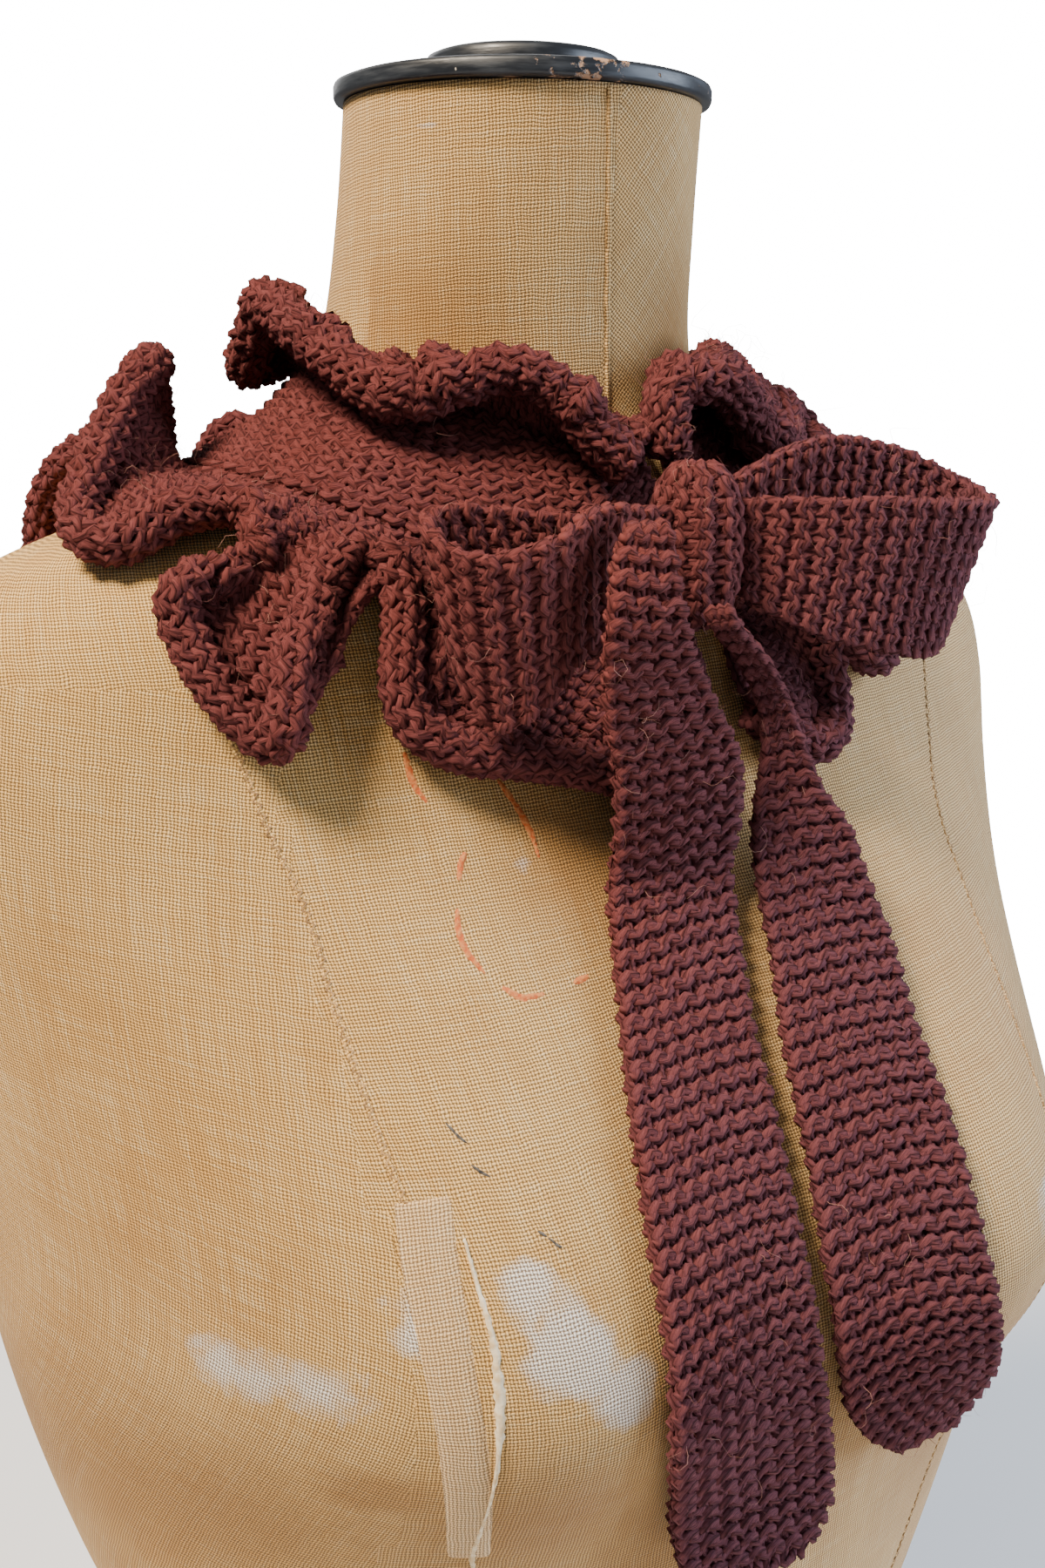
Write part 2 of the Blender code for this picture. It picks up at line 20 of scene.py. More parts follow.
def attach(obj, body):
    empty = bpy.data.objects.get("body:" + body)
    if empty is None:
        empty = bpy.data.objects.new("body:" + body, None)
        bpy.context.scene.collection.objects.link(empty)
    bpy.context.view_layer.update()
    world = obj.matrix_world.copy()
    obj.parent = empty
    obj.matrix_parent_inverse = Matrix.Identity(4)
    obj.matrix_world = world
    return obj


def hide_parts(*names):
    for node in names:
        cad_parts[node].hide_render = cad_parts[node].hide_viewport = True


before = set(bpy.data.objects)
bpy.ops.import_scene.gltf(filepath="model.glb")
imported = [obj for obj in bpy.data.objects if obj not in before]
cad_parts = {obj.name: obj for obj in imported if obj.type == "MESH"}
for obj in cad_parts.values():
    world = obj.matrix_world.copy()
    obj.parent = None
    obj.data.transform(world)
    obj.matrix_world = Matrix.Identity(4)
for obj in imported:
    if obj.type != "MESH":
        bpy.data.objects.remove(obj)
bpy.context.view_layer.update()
chance = np.random.default_rng(20)
print("frame nodes:", ", ".join(sorted(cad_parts)))

# %% [markdown]
# ## Sizes
#
# A knitter works to a gauge: so many stitches and so many rows to a length. The ruffles, the loops
# and the ties hang under different pulls, so each has a gauge of its own. All the loops below come
# from it, from the thickness of the yarn, and from how far a loop rises and bends.

# %% The gauge of the knitting
MM = 0.001
Gauge = namedtuple("Gauge", "stitch row yarn uneven")   # widths of a stitch and a row, half the yarn
RUFFLE_GAUGE = Gauge(6.4 * MM, 4.1 * MM, 1.52 * MM, 0.07)
LOOP_GAUGE = Gauge(5.6 * MM, 3.4 * MM, 1.55 * MM, 0.10)
TIE_GAUGE = Gauge(6.9 * MM, 3.05 * MM, 1.68 * MM, 0.10)
LOOP_TALL = 0.95           # how far a loop reaches up and down, in rows
LOOP_BULGE = 0.24          # how far a loop's sides bow out, in stitches
LOOP_DEPTH = 1.25 * MM     # how far a loop weaves in front of the cloth's middle and behind it
STITCH_POINTS = 8          # points along the yarn in one stitch
YARN_SIDES = 5
ROOT = 0.6 * MM            # rows nearer than this to a sheet's root are left out
PLY_PITCH = 6.5 * MM       # length of yarn between one ply's groove and the next
Roll = namedtuple("Roll", "radius wrap drop lift")   # to the cloth's middle, cloth in it, dip before, rise
UPPER_ROLL = Roll(6.0 * MM, 30.0 * MM, 13.0 * MM, 0.3 * MM)
LOWER_ROLL = Roll(5.2 * MM, 25.0 * MM, 12.0 * MM, 1.3 * MM)
STEP = 0.75 * MM           # spacing of the sheets' points across them
for part_of, gauge in (("ruffles", RUFFLE_GAUGE), ("loops", LOOP_GAUGE), ("ties", TIE_GAUGE)):
    stitches, rows = round(100 * MM / gauge.stitch), round(100 * MM / gauge.row)
    print(part_of, stitches, "stitches and", rows, "rows to 10 cm")

# %% [markdown]
# ## The shape of the form
#
# A dress form is padded to a body's sections. One row of this table is one level section, of two
# half ellipses, and the surface runs smoothly from row to row. The bust is two rounded swellings
# on top of that. The same table made the solid form, so the linen lies where the solid is.

# %% The form's sections
# Columns in millimetres: height, half width, front, back, ahead.
FORM_SECTIONS = np.array([
    (0, 150, 112, 112, 30), (60, 143, 104, 98, 34), (110, 133, 94, 88, 38), (160, 129, 90, 84, 42),
    (220, 147, 106, 96, 42), (280, 169, 122, 109, 34), (340, 184, 130, 116, 24), (400, 191, 129, 118, 14),
    (460, 199, 118, 119, 5), (500, 205, 106, 119, 0), (532, 205, 95, 117, 0), (556, 196, 87, 110, 0),
    (574, 172, 80, 101, 0), (587, 140, 74, 91, 0), (599, 107, 68, 80, 0), (610, 82, 64, 71, 0),
    (625, 67, 60, 65, 1), (646, 59.5, 57, 60, 4), (680, 56.5, 56, 57, 9), (712.5, 55.5, 55.5, 55.5, 13),
]) / 1000
BUST_HEIGHT, BUST_APART, BUST_OUT = 0.385, 0.172, 0.048
BUST_SPREAD, BUST_ABOVE, BUST_BELOW, BUST_FACING = 0.075, 0.080, 0.062, 1.6
SEAM_ROW, CHEST_ROW = 15, 9
LOOKUP_STEPS = 300
LOOKUP_SIDES = 160


def between(start, end, count):
    """count numbers from start to end, ends included."""
    return np.linspace(start, end, count)


def smooth_rows(rows, at):
    """Catmull-Rom through the rows of a table, at fractional row numbers.

    b + f/2 (c - a + f (2a - 5b + 4c - d + f (3(b - c) + d - a))), with f the fraction past row b.
    """
    rows = np.asarray(rows, float)
    last = len(rows) - 1
    i = np.minimum(np.floor(at).astype(int), last - 1)
    f = (at - i)[:, None]
    a, b, c, d = (rows[np.clip(i + k, 0, last)] for k in (-1, 0, 1, 2))
    return b + 0.5 * f * (c - a + f * (2 * a - 5 * b + 4 * c - d + f * (3 * (b - c) + d - a)))


def bust(x, height, facing):
    """Two swellings, each exp(-(across/spread)^2) exp(-(drop)^2), faded out towards the sides."""
    drop = (height - BUST_HEIGHT) / np.where(height > BUST_HEIGHT, BUST_ABOVE, BUST_BELOW)
    rise = np.exp(-drop ** 2) * sum(np.exp(-((x - side * BUST_APART / 2) / BUST_SPREAD) ** 2)
                                    for side in (-1, 1))
    return BUST_OUT * rise * np.clip(BUST_FACING * facing, 0, 1)


def form_at(angle, rows_up):
    """The form's surface: radius 1 / sqrt((sin/half)^2 + (cos/depth)^2) round each section."""
    angle, rows_up = np.broadcast_arrays(np.asarray(angle, float), np.asarray(rows_up, float))
    z, half, front, back, ahead = smooth_rows(FORM_SECTIONS, rows_up.ravel()).T.reshape(
        5, *angle.shape)
    turn = np.radians(angle)
    depth = np.where(np.cos(turn) > 0, front, back)
    radius = 1 / np.sqrt((np.sin(turn) / half) ** 2 + (np.cos(turn) / depth) ** 2)
    x, y = radius * np.sin(turn), -ahead - radius * np.cos(turn)
    return np.stack([x, y - bust(x, z, radius * np.cos(turn) / depth), z], -1)


def form_front(x, height):
    """y of the form's front side at x and height: -ahead - front sqrt(1 - (x/half)^2) - bust."""
    x, height = np.broadcast_arrays(np.asarray(x, float), np.asarray(height, float))
    fine = between(0, len(FORM_SECTIONS) - 1, LOOKUP_STEPS)
    rows_up = np.interp(height.ravel(), smooth_rows(FORM_SECTIONS, fine)[:, 0], fine)
    z, half, front, _, ahead = smooth_rows(FORM_SECTIONS, rows_up).T.reshape(5, *x.shape)
    cover = np.sqrt(np.clip(1 - (x / half) ** 2, 0, 1))
    return -ahead - front * cover - bust(x, z, cover)


def form_height(angle, reach):
    """Height of the form's shoulders and chest at a distance from the neck's axis."""
    angle, reach = np.broadcast_arrays(np.asarray(angle, float), np.asarray(reach, float))
    rows_up = between(SEAM_ROW + 2.0, CHEST_ROW, LOOKUP_STEPS)
    line = form_at(angle.ravel()[:, None], rows_up[None, :])
    out = np.maximum.accumulate(np.hypot(line[..., 0], line[..., 1]), axis=1)
    step = np.clip((out < reach.ravel()[:, None]).sum(1), 1, LOOKUP_STEPS - 1)
    row = np.arange(len(step))
    near, far = out[row, step - 1], out[row, step]
    part = np.clip((reach.ravel() - near) / np.maximum(far - near, 1e-9), 0, 1)
    height = line[row, step - 1, 2] * (1 - part) + line[row, step, 2] * part
    return height.reshape(angle.shape)


def form_reach(angle, height):
    """Reach of the form's surface at heights above its chest, at each angle."""
    rows_up = between(CHEST_ROW, len(FORM_SECTIONS) - 1, LOOKUP_STEPS)
    angle, height = np.broadcast_arrays(angle, height)
    reaches = np.array([np.interp(height.ravel(), line[:, 2], np.hypot(line[:, 0], line[:, 1]))
                        for line in form_at(between(0, 360, LOOKUP_SIDES)[:, None], rows_up)])
    place = (angle.ravel() % 360) / 360 * (LOOKUP_SIDES - 1)
    low = np.minimum(place.astype(int), LOOKUP_SIDES - 2)
    each = np.arange(place.size)
    mixed = reaches[low, each] + (place - low) * (reaches[low + 1, each] - reaches[low, each])
    return mixed.reshape(angle.shape)


print("form:", len(FORM_SECTIONS), "sections, up to", FORM_SECTIONS[-1, 0], "m")

# %% [markdown]
# ## Mesh from arrays
#
# Every new piece below is worked out as whole arrays of points. These helpers hand them to Blender:
# a grid becomes faces, and a pattern that follows the cloth goes into a UV map, corner by corner.

# %% Grids, meshes and normals
def unit(vectors):
    return vectors / np.maximum(np.linalg.norm(vectors, axis=-1, keepdims=True), 1e-12)


def grid_normals(grid):
    """Unit normals of a grid of points: across x along, which faces up where across runs outwards."""
    return unit(np.cross(np.gradient(grid, axis=1), np.gradient(grid, axis=0)))


def grid_faces(rows, columns, closed=False):
    """Four-cornered faces between neighbours of a grid, the last column joined to the first if closed."""
    i, k = np.meshgrid(np.arange(rows - 1), np.arange(columns - (not closed)), indexing="ij")
    after = (k + 1) % columns
    return np.stack([i * columns + k, i * columns + after,
                     (i + 1) * columns + after, (i + 1) * columns + k], -1).reshape(-1, 4)


def full_turn(count):
    return between(0, 2 * np.pi, count + 1)[:-1]


def run_along(paths):
    """Length from the first point of each path to each of its points."""
    return np.insert(np.linalg.norm(np.diff(paths, axis=-2), axis=-1).cumsum(-1), 0, 0, axis=-1)


def read_columns(table, at, want):
    """Each column of a table whose rows stand at these values, read off at the wanted ones."""
    return np.column_stack([np.interp(want, at, column) for column in table.T])


def in_scene(name, data):
    made = bpy.data.objects.new(name, data)
    bpy.context.scene.collection.objects.link(made)
    return made


def mesh_piece(name, shape, look, slot=None, values=None):
    """One object from a shape: its points, a list of face arrays, and two numbers for each face corner.

    With a slot it is part of the object, and without one it is part of the room round it.
    """
    points, faces, uv = shape
    faces = [np.asarray(f) for f in faces if len(f)]
    used, corners = np.unique(np.concatenate([f.ravel() for f in faces]), return_inverse=True)
    starts = np.cumsum(np.concatenate([[0], *[np.full(len(f), f.shape[1]) for f in faces]]))
    mesh = bpy.data.meshes.new(name)
    mesh.vertices.add(len(used))
    mesh.vertices.foreach_set("co", points[used].astype(np.float32).ravel())
    mesh.loops.add(len(corners))
    mesh.loops.foreach_set("vertex_index", corners.astype(np.int32).ravel())
    mesh.polygons.add(len(starts) - 1)
    mesh.polygons.foreach_set("loop_start", starts[:-1].astype(np.int32))
    mesh.update(calc_edges=True)
    mesh.shade_smooth()
    if uv is not None:
        uv = np.concatenate([u.reshape(-1, 2) for u in uv if len(u)])
        mesh.uv_layers.new(name="thread").uv.foreach_set("vector", uv.astype(np.float32).ravel())
    for key, value in (values or {}).items():
        mesh.attributes.new(key, "FLOAT", "POINT").data.foreach_set("value", value[used].astype(np.float32))
    mesh.materials.append(look)
    made = in_scene(name, mesh)
    if slot:
        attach(made, "root")
    print(f"{name}: {len(used)} points, {sum(len(f) * (f.shape[1] - 2) for f in faces)} triangles")
    return made


# %% [markdown]
# ## Materials
#
# The finishes are plied wool, old linen, black paint, and a few plain ones. The wool follows the yarn:
# its UV map runs along the strand and round it, so three plies wind round it as they do in real yarn.
# Colour wanders slowly over the whole collar, which was dyed by hand, and quickly along each fibre.
# Part of the slow change is painted light: the wool turns mauve towards the form's left and lower
# down, where the cool fill light falls. The grooves between plies and fibres hold painted shade.
#
# A field is a number or a colour that nodes work out at every point. Arithmetic on fields adds Math
# nodes, so a look below reads as the formulas behind it.

# %% Fields, for writing node trees as formulas
def plug(tree, node, inputs):
    """Links or sets each (socket, value) of a node's inputs."""
    for socket, value in dict(inputs).items():
        if isinstance(value, Field):
            tree.links.new(value.socket, node.inputs[socket])
        else:
            node.inputs[socket].default_value = value


def wire(tree, kind, inputs=(), **settings):
    """Adds a node with these settings and inputs, and gives its outputs as fields."""
    made = tree.nodes.new("ShaderNode" + kind)
    for key, value in settings.items():
        setattr(made, key, value)
    plug(tree, made, inputs)
    return [Field(tree, socket) for socket in made.outputs]


class Field:
    """What nodes work out at every point, with arithmetic and shorthands that add more of them."""

    def __init__(self, tree, socket):
        self.tree, self.socket = tree, socket

    def math(self, operation, *others):
        return wire(self.tree, "Math", enumerate((self, *others)), operation=operation)[0]

    def __add__(self, other):
        return self.math("ADD", other)

    def __sub__(self, other):
        return self.math("SUBTRACT", other)

    def __mul__(self, other):
        return self.math("MULTIPLY", other)

    def __abs__(self):
        return self.math("ABSOLUTE")

    def cloud(self, scale, detail=2.0, rough=0.5):
        """Smooth noise from 0 to 1, with this field as the place."""
        return wire(self.tree, "TexNoise", {"Vector": self, "Scale": scale, "Detail": detail,
                                            "Roughness": rough})[0]

    def spread(self, low, high, to_low=0.0, to_high=1.0):
        """The range from low to high, stretched over to_low to to_high and held there."""
        return wire(self.tree, "MapRange", {0: self, 1: low, 2: high, 3: to_low, 4: to_high})[0]

    def stretched(self, x, y, z):
        return wire(self.tree, "Mapping", {"Vector": self, "Scale": (x, y, z)})[0]

    def parts(self):
        return wire(self.tree, "SeparateXYZ", {0: self})

    def blend(self, first, second):
        """A colour from first to second, with this field as the second one's share."""
        return wire(self.tree, "Mix", {0: self, 6: first, 7: second}, data_type="RGBA")[2]


def new_look(name):
    """A material, and the field of places on the object."""
    made = bpy.data.materials.new(name)
    made.use_nodes = True
    return made, wire(made.node_tree, "TexCoord")[3]


def thread_field(tree):
    """Lengths along the thread and across or round it, from the UV map."""
    return wire(tree, "UVMap", uv_map="thread")[0]


def finished(made, inputs, height=None, depth=0.0, strength=1.0):
    """Gives the shader its inputs, and a bump of this depth where there is a height."""
    tree = made.node_tree
    if height is not None:
        bump = {"Height": height, "Distance": depth, "Strength": strength}
        inputs["Normal"] = wire(tree, "Bump", bump)[0]
    plug(tree, tree.nodes["Principled BSDF"], inputs)
    return made


# %% Plied wool
RUST, MAUVE = (0.112, 0.022, 0.0165, 1), (0.090, 0.036, 0.055, 1)
SHADE, TIPS = (0.012, 0.0022, 0.0026, 1), (0.22, 0.066, 0.066, 1)


def wool_look(name, warm, cool, groove_shade, pale):
    """Three plies: the yarn stands out as |cos(pi (3 v + u))|, u along it in plies and v round it."""
    made, place = new_look(name)
    along, round_it, _ = thread_field(place.tree).parts()
    winding = round_it * 3.0 + along
    ply = abs((winding * np.pi).math("COSINE")).math("POWER", 0.6)
    fibre_way = wire(place.tree, "CombineXYZ", {0: along, 1: winding * 5.0})[0]
    fibre = fibre_way.cloud(2.2, 4.0, 0.65).spread(0.3, 0.7)
    x, _, z = place.parts()
    # Painted light: drift turns the wool from warm to cool towards the form's left (+x) and lower down, as
    # the cool fill light tints it there; the slow noise beside it is the dye's own wander.
    drift = (x * 7.0 + (z * -4.0 + 2.2)).spread(-0.4, 0.7)
    wander = place.cloud(14.0).spread(0.35, 0.65) * 0.3 + drift * 0.7
    heather = place.cloud(260.0).spread(0.3, 0.7)
    colour = (heather * 0.30).blend(wander.blend(warm, cool), pale)
    colour = (fibre * 0.6).blend(colour, pale)
    # Painted shade: the grooves between the plies and the gaps between the fibres are darkened.
    colour = ply.spread(0.15, 0.8, 0.8, 0.0).blend(colour, groove_shade)
    colour = fibre.spread(0.0, 0.6, 0.6, 0.0).blend(colour, groove_shade)
    return finished(made, {"Base Color": colour, "Roughness": 0.92, "Specular IOR Level": 0.12},
                    ply + fibre * 0.6, 0.0005, 0.8)


def inside_shade_look():
    """A near-black sheet inside the knitting: painted shade, seen only between the loops."""
    made, place = new_look("painted shade inside the knitting")
    fluff = place.cloud(600.0, 3.0).spread(0.3, 0.7)
    colour = fluff.blend((0.012, 0.002, 0.002, 1), (0.034, 0.006, 0.005, 1))
    return finished(made, {"Base Color": colour, "Roughness": 1.0, "Specular IOR Level": 0.1}, fluff, 0.0008)


def hair_look(name, pale, dark):
    """Stray fibres: one colour each way along a slow noise."""
    made, place = new_look(name)
    colour = place.cloud(90.0).spread(0.4, 0.6).blend(pale, dark)
    return finished(made, {"Base Color": colour, "Roughness": 0.8})


WOOL = wool_look("plied wool", RUST, MAUVE, SHADE, TIPS)
INSIDE_SHADE = inside_shade_look()
FLUFF = hair_look("loose fibres", (0.15, 0.030, 0.024, 1), (0.07, 0.012, 0.010, 1))
GREY_HAIR = hair_look("pale guard hairs", (0.38, 0.18, 0.14, 1), (0.16, 0.05, 0.04, 1))


# %% Linen, paint, chalk
def linen_look(name, pale, tan, rust, gap):
    """A plain weave: each thread stands out as |sin|, and the two sets take turns to pass on top."""
    made, place = new_look(name)
    uv = thread_field(place.tree)
    warp_way, weft_way, _ = uv.parts()
    waver = (uv.cloud(0.12) - 0.5) * 1.6
    warp = ((warp_way + waver) * np.pi).math("SINE")
    weft = ((weft_way + waver) * np.pi).math("SINE")
    turns = warp * weft
    over = abs(warp) * (turns * 0.4 + 0.6)
    under = abs(weft) * (turns * -0.4 + 0.6)
    cloth = over.math("MAXIMUM", under)
    slubs = uv.stretched(0.03, 0.8, 1.0).cloud(1.0) + uv.stretched(0.8, 0.03, 1.0).cloud(1.0)
    stain = place.cloud(9.0, 4.0, 0.55).spread(0.45, 0.75)
    streak = place.stretched(50.0, 50.0, 7.0).cloud(1.0, 3.0).spread(0.50, 0.85)
    colour = (stain * 0.9).blend(tan, rust)
    colour = (streak * 0.6).blend(colour, rust)
    colour = slubs.spread(1.0, 1.3, 0.0, 0.75).blend(colour, pale)
    colour = slubs.spread(0.96, 0.70, 0.0, 0.5).blend(colour, rust)
    # Painted light: towards the form's left (+x) the linen turns paler and cooler, as the cool fill shows
    # it.
    colour = place.parts()[0].spread(-0.13, 0.12, 0.0, 0.3).blend(colour, (0.80, 0.61, 0.44, 1))
    ragged = (place.cloud(55.0, 5.0, 0.65) - 0.5) * 1.1
    # Columns: attribute, share of the ragged noise, range of the mark, its strength, its colour.
    for mark, rough, low, high, strength, tint in (
            ("worn", 1.0, 0.48, 0.72, 0.9, (0.97, 0.93, 0.87, 1)),
            # The brown marks are partly stains and partly painted shade round the collar and under the bow.
            ("stains_and_shade", 0.5, 0.15, 1.0, 0.7, (0.36, 0.16, 0.040, 1)),
            ("greyed", 0.5, 0.15, 1.0, 0.7, (0.22, 0.15, 0.14, 1))):
        mark = wire(place.tree, "Attribute", attribute_name=mark)[2] + ragged * rough
        colour = mark.spread(low, high, 0.0, strength).blend(colour, tint)
    # Painted shade: the low places of the weave, between the threads, are darkened to the gap colour.
    colour = cloth.spread(0.3, 0.95, 0.95, 0.0).blend(colour, gap)
    return finished(made, {"Base Color": colour, "Roughness": 0.95, "Specular IOR Level": 0.2,
                           "Sheen Weight": 0.1}, cloth + slubs * 0.5, 0.0003, 0.8)


LINEN = linen_look("old linen", (0.95, 0.69, 0.34, 1), (0.88, 0.55, 0.19, 1),
                   (0.64, 0.33, 0.085, 1), (0.095, 0.048, 0.014, 1))
PATCH = linen_look("mended linen", (0.95, 0.75, 0.48, 1), (0.88, 0.60, 0.30, 1),
                   (0.70, 0.44, 0.18, 1), (0.14, 0.080, 0.035, 1))


CHIPPED_SIDE = 0.009       # the place that is knocked most is this far to the form's right of its front


def paint_look():
    """Black paint over wood and canvas: scuffed all over, and chipped through, most at its front."""
    made, place = new_look("chipped black paint")
    scuff = place.stretched(60.0, 60.0, 420.0).cloud(1.0, 4.0, 0.6).spread(0.45, 0.8)
    x, y, _ = place.parts()
    knocked = abs(x + CHIPPED_SIDE).spread(0.036, 0.014) * y.spread(-0.044, -0.054)
    chips = (knocked * 0.15 + place.cloud(75.0, 5.0, 0.6)).spread(0.66, 0.69)
    specks = place.cloud(420.0).spread(0.765, 0.79)
    colour = scuff.blend((0.006, 0.008, 0.012, 1), (0.035, 0.042, 0.052, 1))
    colour = chips.blend(colour, (0.34, 0.20, 0.12, 1))
    colour = specks.blend(colour, (0.55, 0.50, 0.42, 1))
    rough = scuff.spread(0.0, 1.0, 0.34, 0.62).math("MAXIMUM", chips * 0.9)
    return finished(made, {"Base Color": colour, "Roughness": rough}, scuff * 0.15 - chips, 0.0004)


def plain_look(name, first, second, scale, rough):
    """Two near colours in a fine noise, with the same noise as grain."""
    made, place = new_look(name)
    grain = place.cloud(scale, 3.0).spread(0.35, 0.65)
    return finished(made, {"Base Color": grain.blend(first, second), "Roughness": rough}, grain, 0.0002)


PAINT = paint_look()
CHALK = plain_look("orange chalk", (0.45, 0.085, 0.018, 1), (0.55, 0.22, 0.07, 1), 900.0, 0.95)
THREAD = plain_look("seam thread", (0.20, 0.11, 0.045, 1), (0.46, 0.28, 0.12, 1), 300.0, 0.9)
LINT = plain_look("grey lint", (0.030, 0.028, 0.026, 1), (0.12, 0.11, 0.10, 1), 700.0, 1.0)
WADDING = plain_look("wadding", (0.75, 0.66, 0.48, 1), (0.55, 0.40, 0.22, 1), 400.0, 1.0)
print("materials:", len(bpy.data.materials))

# %% [markdown]
# ## The camera and the lights
#
# The camera stands close, a little to the form's right and above the collar, looking down on it.
# A warm light hangs high on the same side, a wide cool one fills from the other, and a faint one
# comes from behind, in a pale room.

# %% Camera
LENS_PIXELS, IMAGE_HEIGHT = 1900.0, 1800.0
CAMERA_AZIMUTH, CAMERA_PITCH, CAMERA_ROLL = np.radians((-30.5, 13.9, 0.5))
CAMERA_BACK, CAMERA_SIDE, CAMERA_UP = 0.5495, 0.0018, 0.6325
NECK_MIDDLE = np.array([0, -0.013, 0])
PLUMB = np.array([0, 0, 1.0])


def axes_at(right, up, ahead, place):
    """The matrix of something that looks ahead from a place."""
    made = np.eye(4)
    made[:3] = np.column_stack([right, up, -ahead, place])
    return Matrix(made.tolist())


def camera_matrix():
    """Axes: right turned by the azimuth, up tipped by the pitch, then both rolled in the picture."""
    level = np.array([-np.sin(CAMERA_AZIMUTH), np.cos(CAMERA_AZIMUTH), 0])
    right = np.array([np.cos(CAMERA_AZIMUTH), np.sin(CAMERA_AZIMUTH), 0])
    ahead = level * np.cos(CAMERA_PITCH) - PLUMB * np.sin(CAMERA_PITCH)
    up = level * np.sin(CAMERA_PITCH) + PLUMB * np.cos(CAMERA_PITCH)
    place = NECK_MIDDLE - level * CAMERA_BACK + right * CAMERA_SIDE + PLUMB * CAMERA_UP
    cos, sin = np.cos(CAMERA_ROLL), np.sin(CAMERA_ROLL)
    return axes_at(right * cos + up * sin, up * cos - right * sin, ahead, place)


eye = in_scene("camera", bpy.data.cameras.new("camera"))
eye.data.sensor_width = 36.0
eye.data.lens = eye.data.sensor_width * LENS_PIXELS / IMAGE_HEIGHT
eye.data.clip_start = 0.01
eye.matrix_world = camera_matrix()
bpy.context.scene.camera = eye
print("camera at", [round(x, 3) for x in eye.location], "lens", round(eye.data.lens, 1))


# %% Lights and floor
def soft_light(name, place, aim, size, power, colour):
    """A square light at a place, turned to face a point."""
    made = in_scene(name, bpy.data.lights.new(name, "AREA"))
    made.data.size, made.data.energy, made.data.color = size, power, colour
    ahead = unit(np.subtract(aim, place))
    right = unit(np.cross(ahead, PLUMB))
    made.matrix_world = axes_at(right, np.cross(right, ahead), ahead, place)


soft_light("key", (-1.05, -0.30, 1.9), (0, -0.05, 0.5), 0.5, 92.0, (1.0, 0.85, 0.66))
soft_light("fill", (1.3, -0.9, 0.9), (0, 0, 0.5), 1.2, 48.0, (0.70, 0.82, 1.0))
soft_light("rim", (0.3, 1.4, 1.3), (0, 0, 0.55), 1.2, 8.0, (1.0, 1.0, 1.0))

room = bpy.data.worlds.new("pale room")
room.use_nodes = True
room.node_tree.nodes["Background"].inputs[0].default_value = (0.97, 0.98, 1.0, 1)
room.node_tree.nodes["Background"].inputs[1].default_value = 0.30
bpy.context.scene.world = room

FLOOR_REACH, WALL_REACH, WALL_SIDES, WALL_GLOW = 0.9, 6.0, 48, 16.0
FLOOR_LOWERED = 0.0005
floor_look = plain_look("pale floor", (0.86, 0.86, 0.87, 1), (0.90, 0.90, 0.90, 1), 3.0, 0.8)
wall_look = finished(new_look("bright wall")[0], {
    "Base Color": (0.9, 0.9, 0.9, 1), "Emission Color": (1, 1, 1, 1), "Emission Strength": WALL_GLOW})
around = full_turn(WALL_SIDES)
level_ring = np.column_stack([np.cos(around), np.sin(around), 0 * around])
mesh_piece("floor", (level_ring * FLOOR_REACH - PLUMB * FLOOR_LOWERED, [np.arange(WALL_SIDES)[None]], None),
           floor_look)
levels = np.radians(between(-88, 88, WALL_SIDES // 2))[:, None, None]
dome = (level_ring * np.cos(levels) + PLUMB * np.sin(levels)) * WALL_REACH
dome_faces = grid_faces(len(levels), WALL_SIDES, closed=True)
wall = mesh_piece("bright_wall", (dome.reshape(-1, 3), [dome_faces], None), wall_look)
wall.visible_diffuse = wall.visible_glossy = wall.visible_shadow = False
print("floor, wall and lights set")

# %% [markdown]
# ## The linen form
#
# The cover is one smooth skin. The weave's UV map counts threads: along each section from the centre
# front, and up the form, so the threads run level and upright and bend round the bust as cloth does.
# The right half of the neck was cut on the bias, so its threads are turned there.

# %% The linen skin
FORM_AROUND, FORM_UP = 210, 180
THREAD_PITCH = 0.98 * MM
BIAS, SIDE_TURN, FRONT_TURN = np.radians(38), 0.20, -0.07   # how far each part's threads are turned
NECK_FOOT, SIDE_TOP, SIDE_START = 0.612, 0.55, -0.115       # neck above the first, side panel below the next
RISE_COLUMN = 30           # the threads up the form are counted along this column of its grid

# Places on the front. Columns, the first four in millimetres: x, height, half width, half height, strength.
SPOTS = {
    "worn": np.array([
        (-148, 380, 18, 12, 0.74), (-132, 380, 18, 14, 0.74), (-111, 401, 12, 13, 0.9), (-87, 411, 10, 8, 1),
        (-79, 396, 16, 16, 1), (-68, 382, 13, 14, 0.9), (105, 390, 28, 18, 0.9), (60, 350, 22, 12, 0.8),
        (-47, 702, 3.5, 1.6, 1), (-53, 500.6, 6, 5, 0.8)]),
    "stains_and_shade": np.array([
        # Brown marks: partly stains, and partly painted shade on the neck just above the collar and on the
        # chest under the bow.
        (-150, 330, 50, 40, 1), (-45, 640, 20, 30, 1), (30, 640, 18, 30, 1), (-85, 340, 45, 30, 1),
        (-20, 330, 60, 60, 1), (100, 320, 60, 50, 1), (-30, 500, 40, 30, 1), (-120, 352, 20, 10, 1.2)]),
    "greyed": np.array([(50, 690, 9, 10, 1), (52, 660, 6, 25, 1)]),
}
FRONT_FROM = -0.02


def spots(points, table):
    """The tallest of several round hills s exp(-(dx/w)^2 - (dz/h)^2), on the front side only."""
    x, y, z = points[..., None].transpose(1, 0, 2)
    at_x, at_z, wide, tall = table[:, :4].T / 1000
    hill = np.exp(-((x - at_x) / wide) ** 2 - ((z - at_z) / tall) ** 2)
    return (hill * table[:, 4] * (y < FRONT_FROM)).max(-1)


